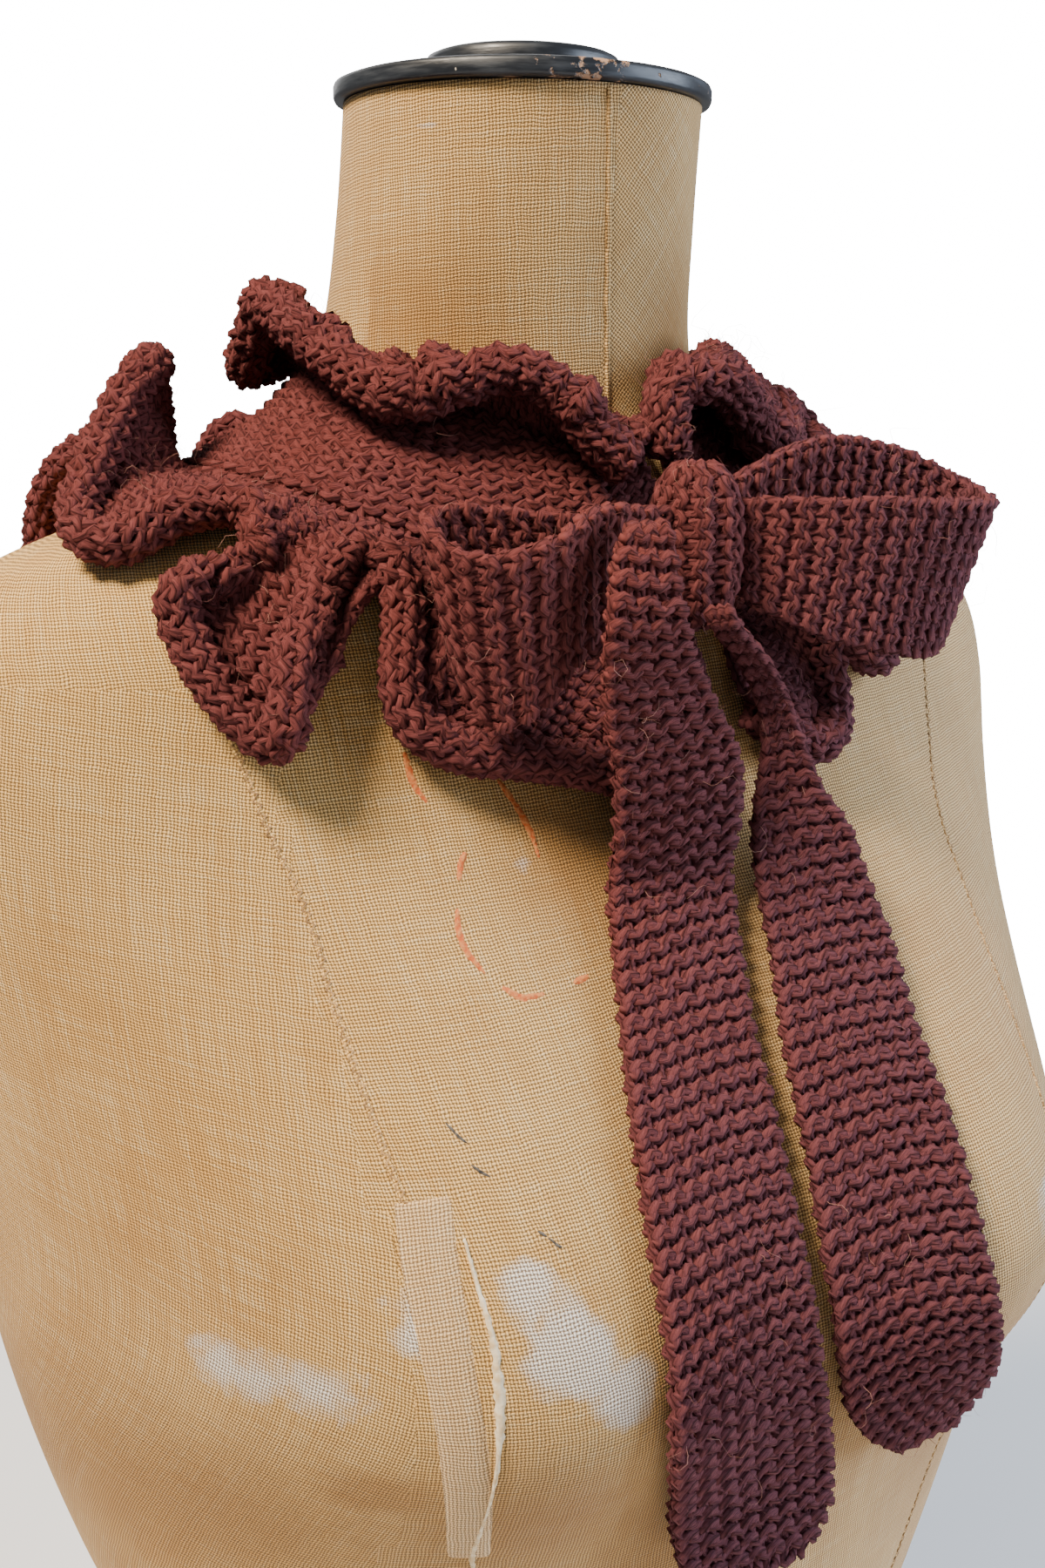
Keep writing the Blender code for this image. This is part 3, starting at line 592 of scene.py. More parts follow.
def form_skin():
    """Points, faces and threads of the cover, with threads counted both ways from the centre front."""
    rows_up = between(0, len(FORM_SECTIONS) - 1, FORM_UP)
    grid = form_at(between(0, 360, FORM_AROUND + 1), rows_up[:, None])
    across = run_along(grid)
    across = np.where(across > across[:, -1:] / 2, across - across[:, -1:], across)
    upward = run_along(grid[:, RISE_COLUMN])[:, None] + 0 * across
    corner = grid_faces(FORM_UP, FORM_AROUND + 1)
    uv = np.stack([across, upward], -1).reshape(-1, 2)[corner] / THREAD_PITCH
    widest = across.max() / THREAD_PITCH
    flip = (np.ptp(uv[..., 0], axis=1) > widest)[:, None] & (uv[..., 0] < 0)
    uv[..., 0] += np.where(flip, 2 * widest, 0)
    x, _, z = grid.reshape(-1, 3)[corner].mean(1).T
    turned = np.where((z > NECK_FOOT) & (x > 0), BIAS,
                      np.where((z < SIDE_TOP) & (x < SIDE_START), SIDE_TURN, FRONT_TURN))[:, None]
    c, s = np.cos(turned), np.sin(turned)
    uv = np.stack([uv[..., 0] * c - uv[..., 1] * s, uv[..., 0] * s + uv[..., 1] * c], -1)
    points = grid[:, :-1].reshape(-1, 3)
    ring = np.arange(FORM_AROUND)[None]
    caps = [ring[:, ::-1], ring + (FORM_UP - 1) * FORM_AROUND]
    cap_uv = [points[c][..., :2] / THREAD_PITCH for c in caps]
    return points, [grid_faces(FORM_UP, FORM_AROUND, closed=True), *caps], [uv, *cap_uv]


skin = form_skin()
marks = {mark: spots(skin[0], places) for mark, places in SPOTS.items()}
linen = mesh_piece("form_linen", skin, LINEN, "linen", marks)
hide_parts("form_body")

# %% [markdown]
# ## Seams, a mend and chalk marks
#
# The cover is sewn from panels: seams down the front, the back and the neck, and curved princess
# seams over the bust. A running stitch shows as dashes, so its thread is one strand that dips in and
# out of the cloth: height = lift sin(length). Over the princess seams it goes from side to side. A
# patch covers the worst wear, and dressmaker's chalk marks a neckline.

# %% Strands and ribbons on the form
STITCH_LONG, STITCH_STEPS = 3.2 * MM, 4
SEAM_THREAD = 0.30 * MM
LIFT, SINK, OVER_EDGE = 1.1, 0.35, 0.6   # how far a thread rises, lies in and stands off, in half widths
SWAY = 0.9 * MM
FINE_SEAM, SEAM, NECK_POINTS = 500, 400, 120
BACK_ANGLES, HEM_ROW, NECK_ROW, TOP_ROW = (145, 180, 215), 0.05, 15.0, 18.9


def tube(path, normal, radius, sides, keep=None):
    """Rings r (cos a n + sin a b) round paths, with n square to each path and b across both.

    path and normal are (strands, points, 3); keep says which points of each strand have yarn.
    """
    strands, count = path.shape[:2]
    ahead = unit(np.gradient(path, axis=1))
    across = unit(np.cross(ahead, normal))
    above = np.cross(across, ahead)
    a = full_turn(sides)[:, None]
    radius = np.broadcast_to(radius, (strands, count))[..., None, None]
    ring = path[:, :, None] + radius * (np.cos(a) * above[:, :, None] + np.sin(a) * across[:, :, None])
    keep = np.ones((strands, count), bool) if keep is None else keep
    link = keep[:, 1:] & keep[:, :-1]
    first = np.arange(strands)[:, None] * count * sides + np.arange(count - 1) * sides
    k = np.arange(sides)
    after = (k + 1) % sides
    face = first[..., None, None] + np.stack([k, k + sides, after + sides, after], -1)
    length = run_along(path)[..., None]
    near, far, low, high = length[:, :-1], length[:, 1:], k / sides, (k + 1) / sides
    uv = np.stack([np.stack(np.broadcast_arrays(*corner), -1)
                   for corner in ((near, low), (far, low), (far, high), (near, high))], -2)
    starts = np.pad(link, ((0, 0), (1, 1)))
    opens = first[:, :1] + np.arange(count) * sides
    heads = opens[starts[:, 1:] & ~starts[:, :-1]][:, None] + k
    tails = opens[~starts[:, 1:] & starts[:, :-1]][:, None] + k[::-1]
    ends_uv = [np.zeros((*h.shape, 2)) for h in (heads, tails)]
    return ring.reshape(-1, 3), [face[link].reshape(-1, 4), heads, tails], \
        [uv[link].reshape(-1, 4, 2), *ends_uv]


def gathered(shapes):
    """Several (points, faces, uv) sets as one, with their faces sorted by their number of corners."""
    shift = np.cumsum([0] + [len(points) for points, _, _ in shapes])
    pairs = [(f + at, u.reshape(*f.shape, 2)) for (_, faces, uv), at in zip(shapes, shift)
             for f, u in zip(faces, uv) if len(f)]
    sizes = sorted({f.shape[1] for f, _ in pairs})
    faces, uv = ([np.concatenate([pair[k] for pair in pairs if pair[0].shape[1] == size]) for size in sizes]
                 for k in (0, 1))
    return np.concatenate([points for points, _, _ in shapes]), faces, uv


def front_points(table, count):
    """Smooth run of points on the form's front through (x, height) pairs, with the normals there."""
    x, z = smooth_rows(np.array(table, float), between(0, len(table) - 1, count)).T * MM
    step = 0.5 * MM
    y = form_front(x, z)
    slope_x = (form_front(x + step, z) - form_front(x - step, z)) / (2 * step)
    slope_z = (form_front(x, z + step) - form_front(x, z - step)) / (2 * step)
    return np.stack([x, y, z], -1), unit(np.stack([slope_x, -np.ones_like(x), slope_z], -1))


def back_points(angle, low, high, count):
    """Points up the form at one angle round the neck's axis, with the normals there."""
    rows_up = between(low, high, count)
    line = form_at(angle, rows_up)
    aside = form_at(angle + 0.5, rows_up) - form_at(angle - 0.5, rows_up)
    return line, unit(np.cross(aside, np.gradient(line, axis=0)))


def beside(line, normal):
    """Unit vectors square to a line and to these normals."""
    return unit(np.cross(np.gradient(line, axis=0), normal))


def running_stitch(line, normal, sway=0.0):
    """A thread that rises lift sin(2 pi length / stitch) out of the cloth and dips back in.

    With a sway it goes over the seam's edge instead, sway sin(2 pi length / stitch) to each side.
    """
    length = run_along(line)
    even = between(0, length[-1], int(length[-1] / STITCH_LONG * STITCH_STEPS))
    line, normal = read_columns(line, length, even), read_columns(normal, length, even)
    wave = np.sin(2 * np.pi * even / STITCH_LONG)
    lift = SEAM_THREAD * (OVER_EDGE + 0 * wave if sway else LIFT * wave - SINK)
    path = line + normal * lift[:, None] + beside(line, normal) * (sway * wave)[:, None]
    return tube(path[None], normal[None], SEAM_THREAD, 4)


# Princess seam: x and height in millimetres, from the armhole to the hem.
PRINCESS = [(-129, 550), (-125, 537), (-122, 525), (-119, 512), (-115, 499), (-113, 486), (-113, 474),
            (-112, 460), (-111, 447), (-110, 436), (-108, 420), (-106, 400), (-103, 380), (-97, 340),
            (-86, 280), (-72, 215), (-66, 160), (-70, 80), (-76, 4)]
CENTRE = [(0, 4), (0, 200), (0, 400), (0, 520), (0, 600)]
NECK_SEAM = [(0, 604), (2, 622), (2, 640), (-1, 677), (-4, 712)]
PRINCESS_PAIR = [[(way * x, z) for x, z in PRINCESS] for way in (1, -1)]

seams = [running_stitch(*front_points(line, SEAM), SWAY) for line in PRINCESS_PAIR]
seams.append(running_stitch(*front_points(CENTRE, FINE_SEAM)))
seams += [running_stitch(*back_points(angle, HEM_ROW, NECK_ROW, FINE_SEAM)) for angle in BACK_ANGLES]
seams.append(running_stitch(*back_points(180, NECK_ROW, TOP_ROW, NECK_POINTS)))
mesh_piece("seam_stitching", gathered(seams), THREAD, "linen")

# %% The patch, the split seam and the chalk
RIBBON_SINK = 0.15 * MM


def ribbon(table, half, lift, count, rows=7, ragged=0.0):
    """A strip over the form: its middle follows a table, its edges turn down into the cloth.

    Height over the cloth is lift (1 - w^4), with w from -1 to 1 across it.
    """
    line, normal = front_points(table, count)
    w = between(-1, 1, rows)
    half = np.interp(between(0, 1, count), between(0, 1, len(half)), half) * MM
    width = half[:, None] * w[None, :] * (1 + ragged * chance.uniform(-1, 1, (count, rows)))
    grid = line[:, None] + beside(line, normal)[:, None] * width[..., None]
    grid[..., 1] = form_front(grid[..., 0], grid[..., 2])
    lifted = lift * (1 - w ** 4)[None, :] - RIBBON_SINK * (np.abs(w) == 1)[None, :]
    ends = np.minimum(1, np.minimum(np.arange(count), np.arange(count)[::-1]) / 2)[:, None]
    grid += normal[:, None] * (lifted * ends - RIBBON_SINK * (1 - ends))[..., None]
    faces = grid_faces(count, rows)
    uv = np.stack([width, run_along(line)[:, None] + 0 * width], -1).reshape(-1, 2)[faces] / THREAD_PITCH
    return grid.reshape(-1, 3), [faces[:, ::-1]], [uv[:, ::-1]]


ridge = ribbon(NECK_SEAM, (1.0, 1.1, 0.9, 1.1, 1.0), 0.55 * MM, 120, 7, 0.12)
mesh_piece("neck_seam", ridge, LINEN, "linen")
folds = [ribbon(line, (0.9, 0.6, 1.0, 0.7, 0.9), 0.3 * MM, 260, 7, 0.2) for line in PRINCESS_PAIR]
mesh_piece("seam_folds", gathered(folds), LINEN, "linen")
mend = ribbon([(-105, 430), (-107, 417), (-107.5, 401), (-107, 385), (-104, 362), (-96, 326)],
              (7.5, 7.5, 7, 6.5, 6.5, 6), 0.9 * MM, 70, 9)
mesh_piece("mended_patch", mend, PATCH, "linen")
split = ribbon([(-98.5, 422), (-98.3, 412), (-97.5, 400), (-98, 386), (-98.3, 370), (-97.5, 350), (-96, 330),
                (-94, 322)], (0.4, 0.6, 0.9, 1.5, 0.7, 0.4, 1.2, 0.4), 1.0 * MM, 90, 7, 0.4)
mesh_piece("burst_seam_wadding", split, WADDING, "linen")
CHALK_LINES = [
    [(-80.5, 532), (-79.7, 524), (-76.6, 518)],
    [(-55.6, 523), (-51.7, 516), (-48.6, 508), (-47.8, 501)],
    [(-68.8, 505), (-71, 502), (-72.7, 498)],
    [(-75, 492), (-76.6, 486), (-75.8, 481), (-72.7, 476)],
    [(-69.6, 473), (-64.9, 470), (-57.9, 470)],
    [(-48.6, 471), (-46, 471.5), (-43.2, 472)],
    [(52, 505), (54, 498), (56, 490)], [(58, 478), (58, 470), (55, 462)],
]
chalk = [ribbon(line, (0.5, 1.1, 1.2, 1.0, 0.5), 0.22 * MM, 24, 5, 0.3) for line in CHALK_LINES]
mesh_piece("chalk_marks", gathered(chalk), CHALK, "linen")
SPECKS = [[(-92, 437), (-90.5, 435.5), (-88, 434)], [(-79, 421), (-77, 419), (-76, 418.5)],
          [(-95, 446), (-93, 443), (-91, 441)], [(-81, 422.5), (-79, 421)]]
specks = [ribbon(line, (0.15, 0.5, 0.15), 0.3 * MM, 10, 5, 0.4) for line in SPECKS]
mesh_piece("lint_specks", gathered(specks), LINT, "linen")

# %% [markdown]
# ## The painted neck cap
#
# A turned disc closes the neck, with a thinner raised disc on it. Each is a profile carried round
# the neck's axis: the point (r, z) becomes (r sin a, -ahead - r cos a, z). A worn edge is not quite
# level, so the radius and the height wander by a few tenths of a millimetre.

# %% Two turned discs
CAP_SIDES = 192
NECK_TOP, NECK_REACH = FORM_SECTIONS[-1, 0] + 0.0004, FORM_SECTIONS[-1, 1]
CAP_TOP = NECK_TOP + 0.0055
WAVES, WAVY_HEIGHT = (2, 3, 5, 9, 14), 0.4


def turned(profile, wander):
    """A profile of (radius, height) points carried round the neck's upright axis, closed at both ends."""
    a = full_turn(CAP_SIDES)
    waves = sum(np.sin(n * a + n * n) / n for n in WAVES) * wander
    r, z = np.array(profile).T
    r = r[:, None] + waves * (r[:, None] > r.max() / 2)
    z = z[:, None] + WAVY_HEIGHT * waves * (np.arange(len(z)) > 1)[:, None]
    grid = np.stack([r * np.sin(a), -FORM_SECTIONS[-1, 4] - r * np.cos(a), z + 0 * r], -1)
    ring = np.arange(CAP_SIDES)[None]
    caps = [ring[:, ::-1], ring + (len(profile) - 1) * CAP_SIDES]
    return grid.reshape(-1, 3), [grid_faces(len(profile), CAP_SIDES, closed=True), *caps], None


def plate_profile(reach, low, high):
    """A disc's edge: its corners rounded, its top very slightly dished in rings."""
    soft = (high - low) / 4
    edge = [(reach - soft, low), (reach - 0.3 * soft, low + 0.3 * soft), (reach, low + soft),
            (reach, high - soft), (reach - 0.3 * soft, high - 0.3 * soft), (reach - soft, high)]
    return edge + [(reach * k, high - 0.0002 * np.sin(9 * k)) for k in (0.9, 0.75, 0.6, 0.45, 0.3, 0.1)]


cap = mesh_piece("painted_cap", turned(plate_profile(NECK_REACH + 0.0030, NECK_TOP, CAP_TOP), 0.00022),
                 PAINT, "paint")
boss = mesh_piece("painted_boss", turned(plate_profile(0.0300, CAP_TOP + 0.0004, CAP_TOP + 0.0089), 0.00015),
                  PAINT, "paint")
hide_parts("neck_cap")
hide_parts("cap_boss")

# %% [markdown]
# ## The middle of each piece of cloth
#
# Before it can be knitted, each piece needs the surface that its yarn follows. The band is a cone
# round the neck's root. A ruffle is a fan of curves, from the band's edge over a crown to a free
# edge that winds in and out, worked out by the same steps and tables as its solid, so that the
# knitting lies where the solid is. A tie or a loop is a table of places, widths and leans.

# %% Tables of the collar and the bow
CLOTH, ROLL, RUFFLE_GAP, CLEAR, RUFFLE_AIR, ROOT_AIR = 0.0050, 0.0110, 0.0026, 0.0012, 0.0030, 0.0008
OPENING, OPENING_HALF = 12.0, 3.0
MOST_SLOPE = 3.0
BAND_STEPS, BAND_ROWS = 56, 4
UPPER_STEPS, LOWER_STEPS = 108, 184
CURVE_STEPS, PLAIN_ROWS = 24, 4
LOOP_STEPS, STRAP_ROWS, TIE_STEPS = 26, 4, 34
BAND_TOP_REACH, BAND_LOW_FRONT, BAND_LOW_SIDE, BAND_PUFF = 0.0680, 0.0870, 0.1020, 0.0020
ROLL_AT, ROLL_SPAN = (-0.75, 0.0, 0.7), 0.95
PUSHES, EASE, EDGE_BLUR, BASE_BLUR = 3, 2, 5, 33
KNEE_OUT, KNEE_LIFT, UPPER_FOLLOW, KNEE_SHARE = 0.62, 0.25, 0.55, 0.75
# Columns: angle, edge reach, edge height, crown reach, crown height.
UPPER_FOLDS = np.array([
    (7, 79, 603, 72, 622), (5.5, 79, 617, 70, 634), (8.5, 82, 627, 69, 641), (14.5, 86, 629, 70, 643),
    (22, 88, 627, 72, 642), (29, 88, 618, 77, 638), (35, 90, 608, 82, 632), (45, 91, 605, 82, 632),
    (58, 91, 613, 78, 640), (72, 92, 612, 77, 640), (87, 94, 614, 78, 640), (102, 83, 634, 80, 636),
    (125, 97, 622, 74, 652), (148, 82, 644, 80, 638), (171, 95, 626, 75, 658), (194, 82, 648, 80, 642),
    (216, 93, 630, 76, 656), (232, 84, 640, 78, 650), (247, 82, 628, 76, 646), (257, 81, 636, 74, 656),
    (265, 82, 649, 73, 666), (274, 80, 645, 72, 661), (284, 79, 638, 72, 652), (297, 79, 628, 71, 642),
    (310, 80, 617, 71, 632), (320, 79, 621, 70, 638), (329, 78, 628, 69, 643), (336, 78, 628, 70, 642),
    (343, 79, 622, 72, 636), (349, 82, 612, 76, 626), (355, 84, 603, 82, 614),
])
# Columns: angle, reach, lift.
LOWER_FOLDS = np.array([
    (16, 104, 3), (24, 112, 0), (31, 119, 0), (35, 112, 3), (34, 105, 5), (39, 104, 7), (42, 113, 4),
    (41, 121, 0), (47, 126, 0), (54, 121, 1), (56, 108, 12), (63, 101, 20), (68, 112, 12), (66, 132, 0),
    (75, 141, 0), (82, 130, 8), (80, 112, 20), (88, 108, 24), (92, 122, 14), (90, 142, 2), (99, 148, 0),
    (106, 136, 6), (104, 114, 22), (112, 108, 24), (117, 120, 12), (115, 131, 2), (124, 135, 0),
    (131, 124, 6), (130, 108, 20), (138, 103, 22), (143, 112, 12), (141, 118, 2), (149, 119, 0),
    (156, 112, 6), (155, 101, 18), (163, 98, 20), (168, 106, 12), (167, 112, 2), (175, 112, 0),
    (182, 107, 6), (181, 99, 18), (189, 98, 20), (194, 107, 14), (193, 113, 6), (201, 116, 10),
    (206, 114, 22), (205, 110, 38), (209, 122, 56), (214, 140, 60), (218, 162, 58), (224, 183, 60),
    (230, 183, 48), (237, 158, 32), (243, 136, 24), (250, 122, 26), (258, 114, 35), (268, 118, 38),
    (275, 142, 22), (280, 157, 6), (285, 157, 0), (288, 145, 2), (288, 135, 7), (293, 127, 7),
    (299, 120, 5), (301, 128, 3), (295, 145, 2), (293, 151, 0), (298, 149, 2), (304, 143, 2), (310, 136, 1),
    (308, 124, 5), (305, 115, 7), (308, 108, 7), (313, 106, 6), (317, 111, 5), (316, 119, 2), (313, 121, 1),
    (319, 121, 0), (329, 113, 0), (340, 108, 0), (350, 107, 1), (359, 112, 2), (366, 113, 3),
])
# Columns: side, out, height, half width, lean.
LEFT_LOOP = np.array([
    (-9, 107, 588, 9, 0), (-21, 111, 584, 14, -2), (-38, 117, 580, 19, -5), (-56, 123, 569, 24, -10),
    (-71, 117, 565, 24, -14), (-77, 105, 577, 19, -13), (-66, 96, 584, 15, -8), (-40, 97, 583, 13, -2),
    (-9, 99, 587, 9, 0),
])
RIGHT_LOOP = np.array([
    (18, 108, 585, 14, 0), (40, 120, 579, 20, 0), (64, 125, 576, 23, 2), (85, 122, 574, 24, 10),
    (102, 113, 576, 22, 17), (104, 102, 584, 20, 14), (88, 94, 592, 20, 4), (56, 94, 597, 18, 0),
    (18, 99, 591, 12, 0),
])
# Columns: height, side, off the form, half width, twist.
LEFT_TIE = np.array([
    (594, -28, 58, 6, 0), (586, -31, 57, 9.5, 4), (572, -32, 53, 12, 5), (558, -28, 44, 15, 4),
    (544, -22, 36, 18, 2), (526, -14, 27, 21, 0), (508, -11.5, 16, 21, 0), (494, -12, 7, 21, 0),
    (474, -16, 5, 21.5, 0), (452, -21.5, 5, 22.5, 0), (432, -25.5, 5, 25, 0), (412, -28.5, 5, 26, 0),
    (392, -29, 5, 27, 0), (368, -27.5, 5, 28, 0), (340, -20, 6, 28.5, 0), (320, -15, 9, 27.5, 0),
    (309, -14.5, 11, 24, 0), (302, -15, 12, 18, 0),
])
RIGHT_TIE = np.array([
    (568, 2, 37, 3.5, -30), (562, 9, 31, 3.5, -30), (552, 20, 25, 4, -30), (540, 28, 20, 4.5, -30),
    (528, 31.5, 17, 6, -30), (514, 32.5, 14, 10, -28), (502, 34, 13, 15.5, -22), (490, 34.5, 11, 17.5, -15),
    (468, 34.5, 8, 20.5, -6), (444, 31.5, 6, 23, 0), (424, 30.5, 5, 24, 0), (402, 29, 5, 24.5, 0),
    (378, 31, 5, 25.5, 0), (362, 35, 5, 26, 0), (347, 40, 5.5, 26, 0), (335, 45, 6, 22, 0),
    (327, 48, 7, 15, 0), (321, 50, 7.5, 8, 0),
])
print("ruffle turns:", len(UPPER_FOLDS), "upper,", len(LOWER_FOLDS), "lower")


# %% Curves and clearances
def polar(angle, reach, height):
    """(reach sin a, -reach cos a, height), with a in degrees from the centre front."""
    turn = np.radians(angle)
    return np.stack([reach * np.sin(turn), -reach * np.cos(turn), height + 0 * turn], -1)


def blend_rows(table, count):
    return smooth_rows(table, between(0, len(table) - 1, count))


def height_over(angle, reach, gap):
    """Height of a point this far from the form's surface, measured square to it."""
    slope = (form_height(angle, reach - MM) - form_height(angle, reach + MM)) / (2 * MM)
    return form_height(angle, reach) + gap * np.sqrt(1 + np.clip(slope, 0, MOST_SLOPE) ** 2)


def blurred(values, width):
    """A weighted mean over this many neighbours down each column, with the ends left where they are."""
    if values.ndim > 1:
        return np.column_stack([blurred(column, width) for column in values.T])
    padded = np.pad(values, width // 2, mode="reflect", reflect_type="odd")
    weights = np.hanning(width + 2)[1:-1]
    return np.convolve(padded, weights / weights.sum(), mode="valid")


APART = 10.0


def read_lines(lines, lengths, cuts):
    """Points at these lengths along many lines at once: each line's lengths are moved to a range apart."""
    apart = np.arange(len(lines))[:, None] * APART
    want = np.clip(cuts, lengths[:, :1], lengths[:, -1:]) + apart
    flat = lines.reshape(-1, lines.shape[-1])
    return read_columns(flat, (lengths + apart).ravel(), want.ravel()).reshape(*cuts.shape, -1)


def ruffle_sheet(start, knee, end):
    """Quadratic Beziers (1-w)^2 start + 2w(1-w) knee + w^2 end, cut at the lengths the roll needs."""
    w = between(0, 1, CURVE_STEPS)[None, :, None]
    start, knee, end = start[:, None, :], knee[:, None, :], end[:, None, :]
    curve = (1 - w) ** 2 * start + 2 * w * (1 - w) * knee + w ** 2 * end
    run = run_along(curve)
    whole = run[:, -1:]
    plain = between(0, 1, PLAIN_ROWS)[None, :] * (whole - ROLL_SPAN * ROLL)
    rolled = whole - (1 - np.array(ROLL_AT))[None, :] * ROLL / 2
    return read_lines(curve, run, np.concatenate([plain, rolled], axis=1))


def cleared(sheet, gap):
    """The sheet pushed off the form, square to it, where a row across it comes nearer than its gap."""
    room = np.concatenate([np.full(PLAIN_ROWS, CLOTH / 2), np.full(len(ROLL_AT), ROLL / 2)])
    for _ in range(PUSHES):
        x, y, height = np.moveaxis(sheet, -1, 0)
        angle, reach = np.degrees(np.arctan2(x, -y)), np.hypot(x, y)
        level = reach - form_reach(angle, height)
        plumb = height - form_height(angle, reach)
        size = np.hypot(level, plumb)
        off = np.sign(level) * np.abs(level * plumb) / size
        need = np.pad(np.maximum(np.array(gap) + room - off, 0), ((EASE, EASE), (0, 0)), mode="edge")
        push = blurred(np.max([need[k:k + len(sheet)] for k in range(2 * EASE + 1)], axis=0), EDGE_BLUR)
        sheet = polar(angle, reach + push * np.abs(plumb) / size, height + push * np.abs(level) / size)
    return sheet


# %% The band and the two ruffles
def round_band(steps):
    return between(OPENING + OPENING_HALF, OPENING + 360 - OPENING_HALF, steps)


def neck_band_middle():
    """A cone from the neck out over the shoulders, puffed by puff sin(pi down)."""
    angle = round_band(BAND_STEPS)[:, None]
    down = between(0, 1, BAND_ROWS)[None, :]
    side = np.abs(np.sin(np.radians(angle)))
    low = BAND_LOW_FRONT + (BAND_LOW_SIDE - BAND_LOW_FRONT) * side ** 2
    reach = BAND_TOP_REACH + (low - BAND_TOP_REACH) * down
    angle = angle + 0 * down
    gap = CLEAR + CLOTH / 2 + BAND_PUFF * np.sin(np.pi * down)
    return polar(angle, reach, height_over(angle, reach, gap))


def band_edge(angle, edge, inside):
    """A seam's width beyond one edge of the band, where a ruffle grows from it."""
    middle = neck_band_middle()
    line = middle[:, edge] + unit(middle[:, edge] - middle[:, inside]) * (CLOTH + RUFFLE_GAP)
    return read_columns(line, round_band(BAND_STEPS), angle)


def root_angles(angle, follow):
    """Where a ruffle's lines leave the band: evenly round it, but drawn some way to their edge's angle."""
    even = round_band(len(angle))
    return even + follow * (angle - even) * np.sin(np.pi * between(0, 1, len(angle))) ** 0.5


def upper_ruffle_middle():
    angle, *sizes = blend_rows(UPPER_FOLDS, UPPER_STEPS).T
    edge_reach, edge_height, crown_reach, crown_height = np.array(sizes) * MM
    base_angle = root_angles(angle, UPPER_FOLLOW)
    knee = polar((angle + base_angle) / 2, crown_reach, crown_height)
    sheet = ruffle_sheet(band_edge(base_angle, 0, 1), knee, polar(angle, edge_reach, edge_height))
    over_band = RUFFLE_AIR + CLOTH + BAND_PUFF
    return cleared(sheet, (ROOT_AIR, over_band * KNEE_SHARE) + (over_band,) * (sheet.shape[1] - 2))


def lower_ruffle_middle():
    path = blend_rows(LOWER_FOLDS, CURVE_STEPS * len(LOWER_FOLDS))
    run = path[:, 1] * np.radians(np.gradient(path[:, 0]))
    run = np.sqrt(run ** 2 + np.gradient(path[:, 1]) ** 2 + np.gradient(path[:, 2]) ** 2).cumsum()
    even = between(run[0], run[-1], LOWER_STEPS)
    angle, reach, lift = blurred(read_columns(path, run, even), EDGE_BLUR).T
    reach, lift = reach * MM, np.maximum(lift * MM, 0)
    base_angle = root_angles(blurred(angle, BASE_BLUR), 1.0)
    start = band_edge(base_angle, -1, -2)
    rest = CLEAR + ROLL / 2
    end = polar(angle, reach, form_height(angle, reach) + rest + lift)
    start_reach = np.hypot(start[:, 0], start[:, 1])
    knee_reach = start_reach + (reach - start_reach) * KNEE_OUT
    knee_angle = (angle + base_angle) / 2
    knee_height = form_height(knee_angle, knee_reach) + rest + KNEE_LIFT * lift
    sheet = ruffle_sheet(start, polar(knee_angle, knee_reach, knee_height), end)
    return cleared(sheet, (ROOT_AIR,) + (RUFFLE_AIR,) * (sheet.shape[1] - 1))


def finer(sheet, steps, rows):
    """Catmull-Rom through a grid of points, along it and then across it."""
    along = smooth_rows(sheet.reshape(len(sheet), -1), between(0, len(sheet) - 1, steps))
    across = along.reshape(steps, -1, 3).transpose(1, 0, 2).reshape(sheet.shape[1], -1)
    fine = smooth_rows(across, between(0, sheet.shape[1] - 1, rows))
    return fine.reshape(rows, steps, 3).transpose(1, 0, 2)


upper_middle, lower_middle, band_middle = upper_ruffle_middle(), lower_ruffle_middle(), neck_band_middle()
print("band round its top:", round(float(run_along(band_middle[:, 0])[-1]), 3), "m")

# %% [markdown]
# ## Rolled edges
#
# A knitted edge curls. Each ruffle dips a little before its free edge and then winds up round a small
# cylinder. In the plane square to the rim, with O pointing out of the cloth's end and U upwards, partly
# along the cloth's normal and partly straight away from the form, a point at length s past the start
# of the roll is C + r (cos t O + sin t U), with t = s / r - 90 degrees.

# %% Sheets with even steps across, and with a rolled edge
JOIN = 4.5 * MM            # how far a ruffle's knitting reaches back over its seam with the band


def even_sheet(grid, before, after):
    """The grid at even lengths across it, from before its first column to after its last, and its ends."""
    first = grid[:, :1] - unit(grid[:, 1:2] - grid[:, :1]) * before
    last = grid[:, -1:] + unit(grid[:, -1:] - grid[:, -2:-1]) * after
    grid = np.concatenate([first, grid, last], axis=1)
    lengths = run_along(grid)
    cuts = np.arange(0, lengths.max(), STEP)[None, :] + 0 * lengths[:, :1]
    beyond = np.maximum(cuts - lengths[:, -1:], 0)[..., None] * unit(grid[:, -1] - grid[:, -2])[:, None]
    return read_lines(grid, lengths, cuts) + beyond, lengths[:, -1]


LEVEL = np.array((1.0, 1.0, 0.0))
AWAY_SHARE = 0.7           # how far a roll turns from its cloth's normal to straight away from the form
ROLL_BLUR = 9              # lines over which a roll's place and direction are evened out
ROLL_TIGHTENS = 0.16       # how much less a roll's radius is at its end
EDGE_RUN = 4 * MM          # length of cloth that gives the direction in which it meets its roll
FINER = 6                  # lines across a sheet for each of its rows
# Columns: height, half turns along the sheet, start.
DRIFT = ((2.2, 10, 0), (1.4, 19, 1))
LEANING = 0.8              # how far a gather leans as it crosses the sheet


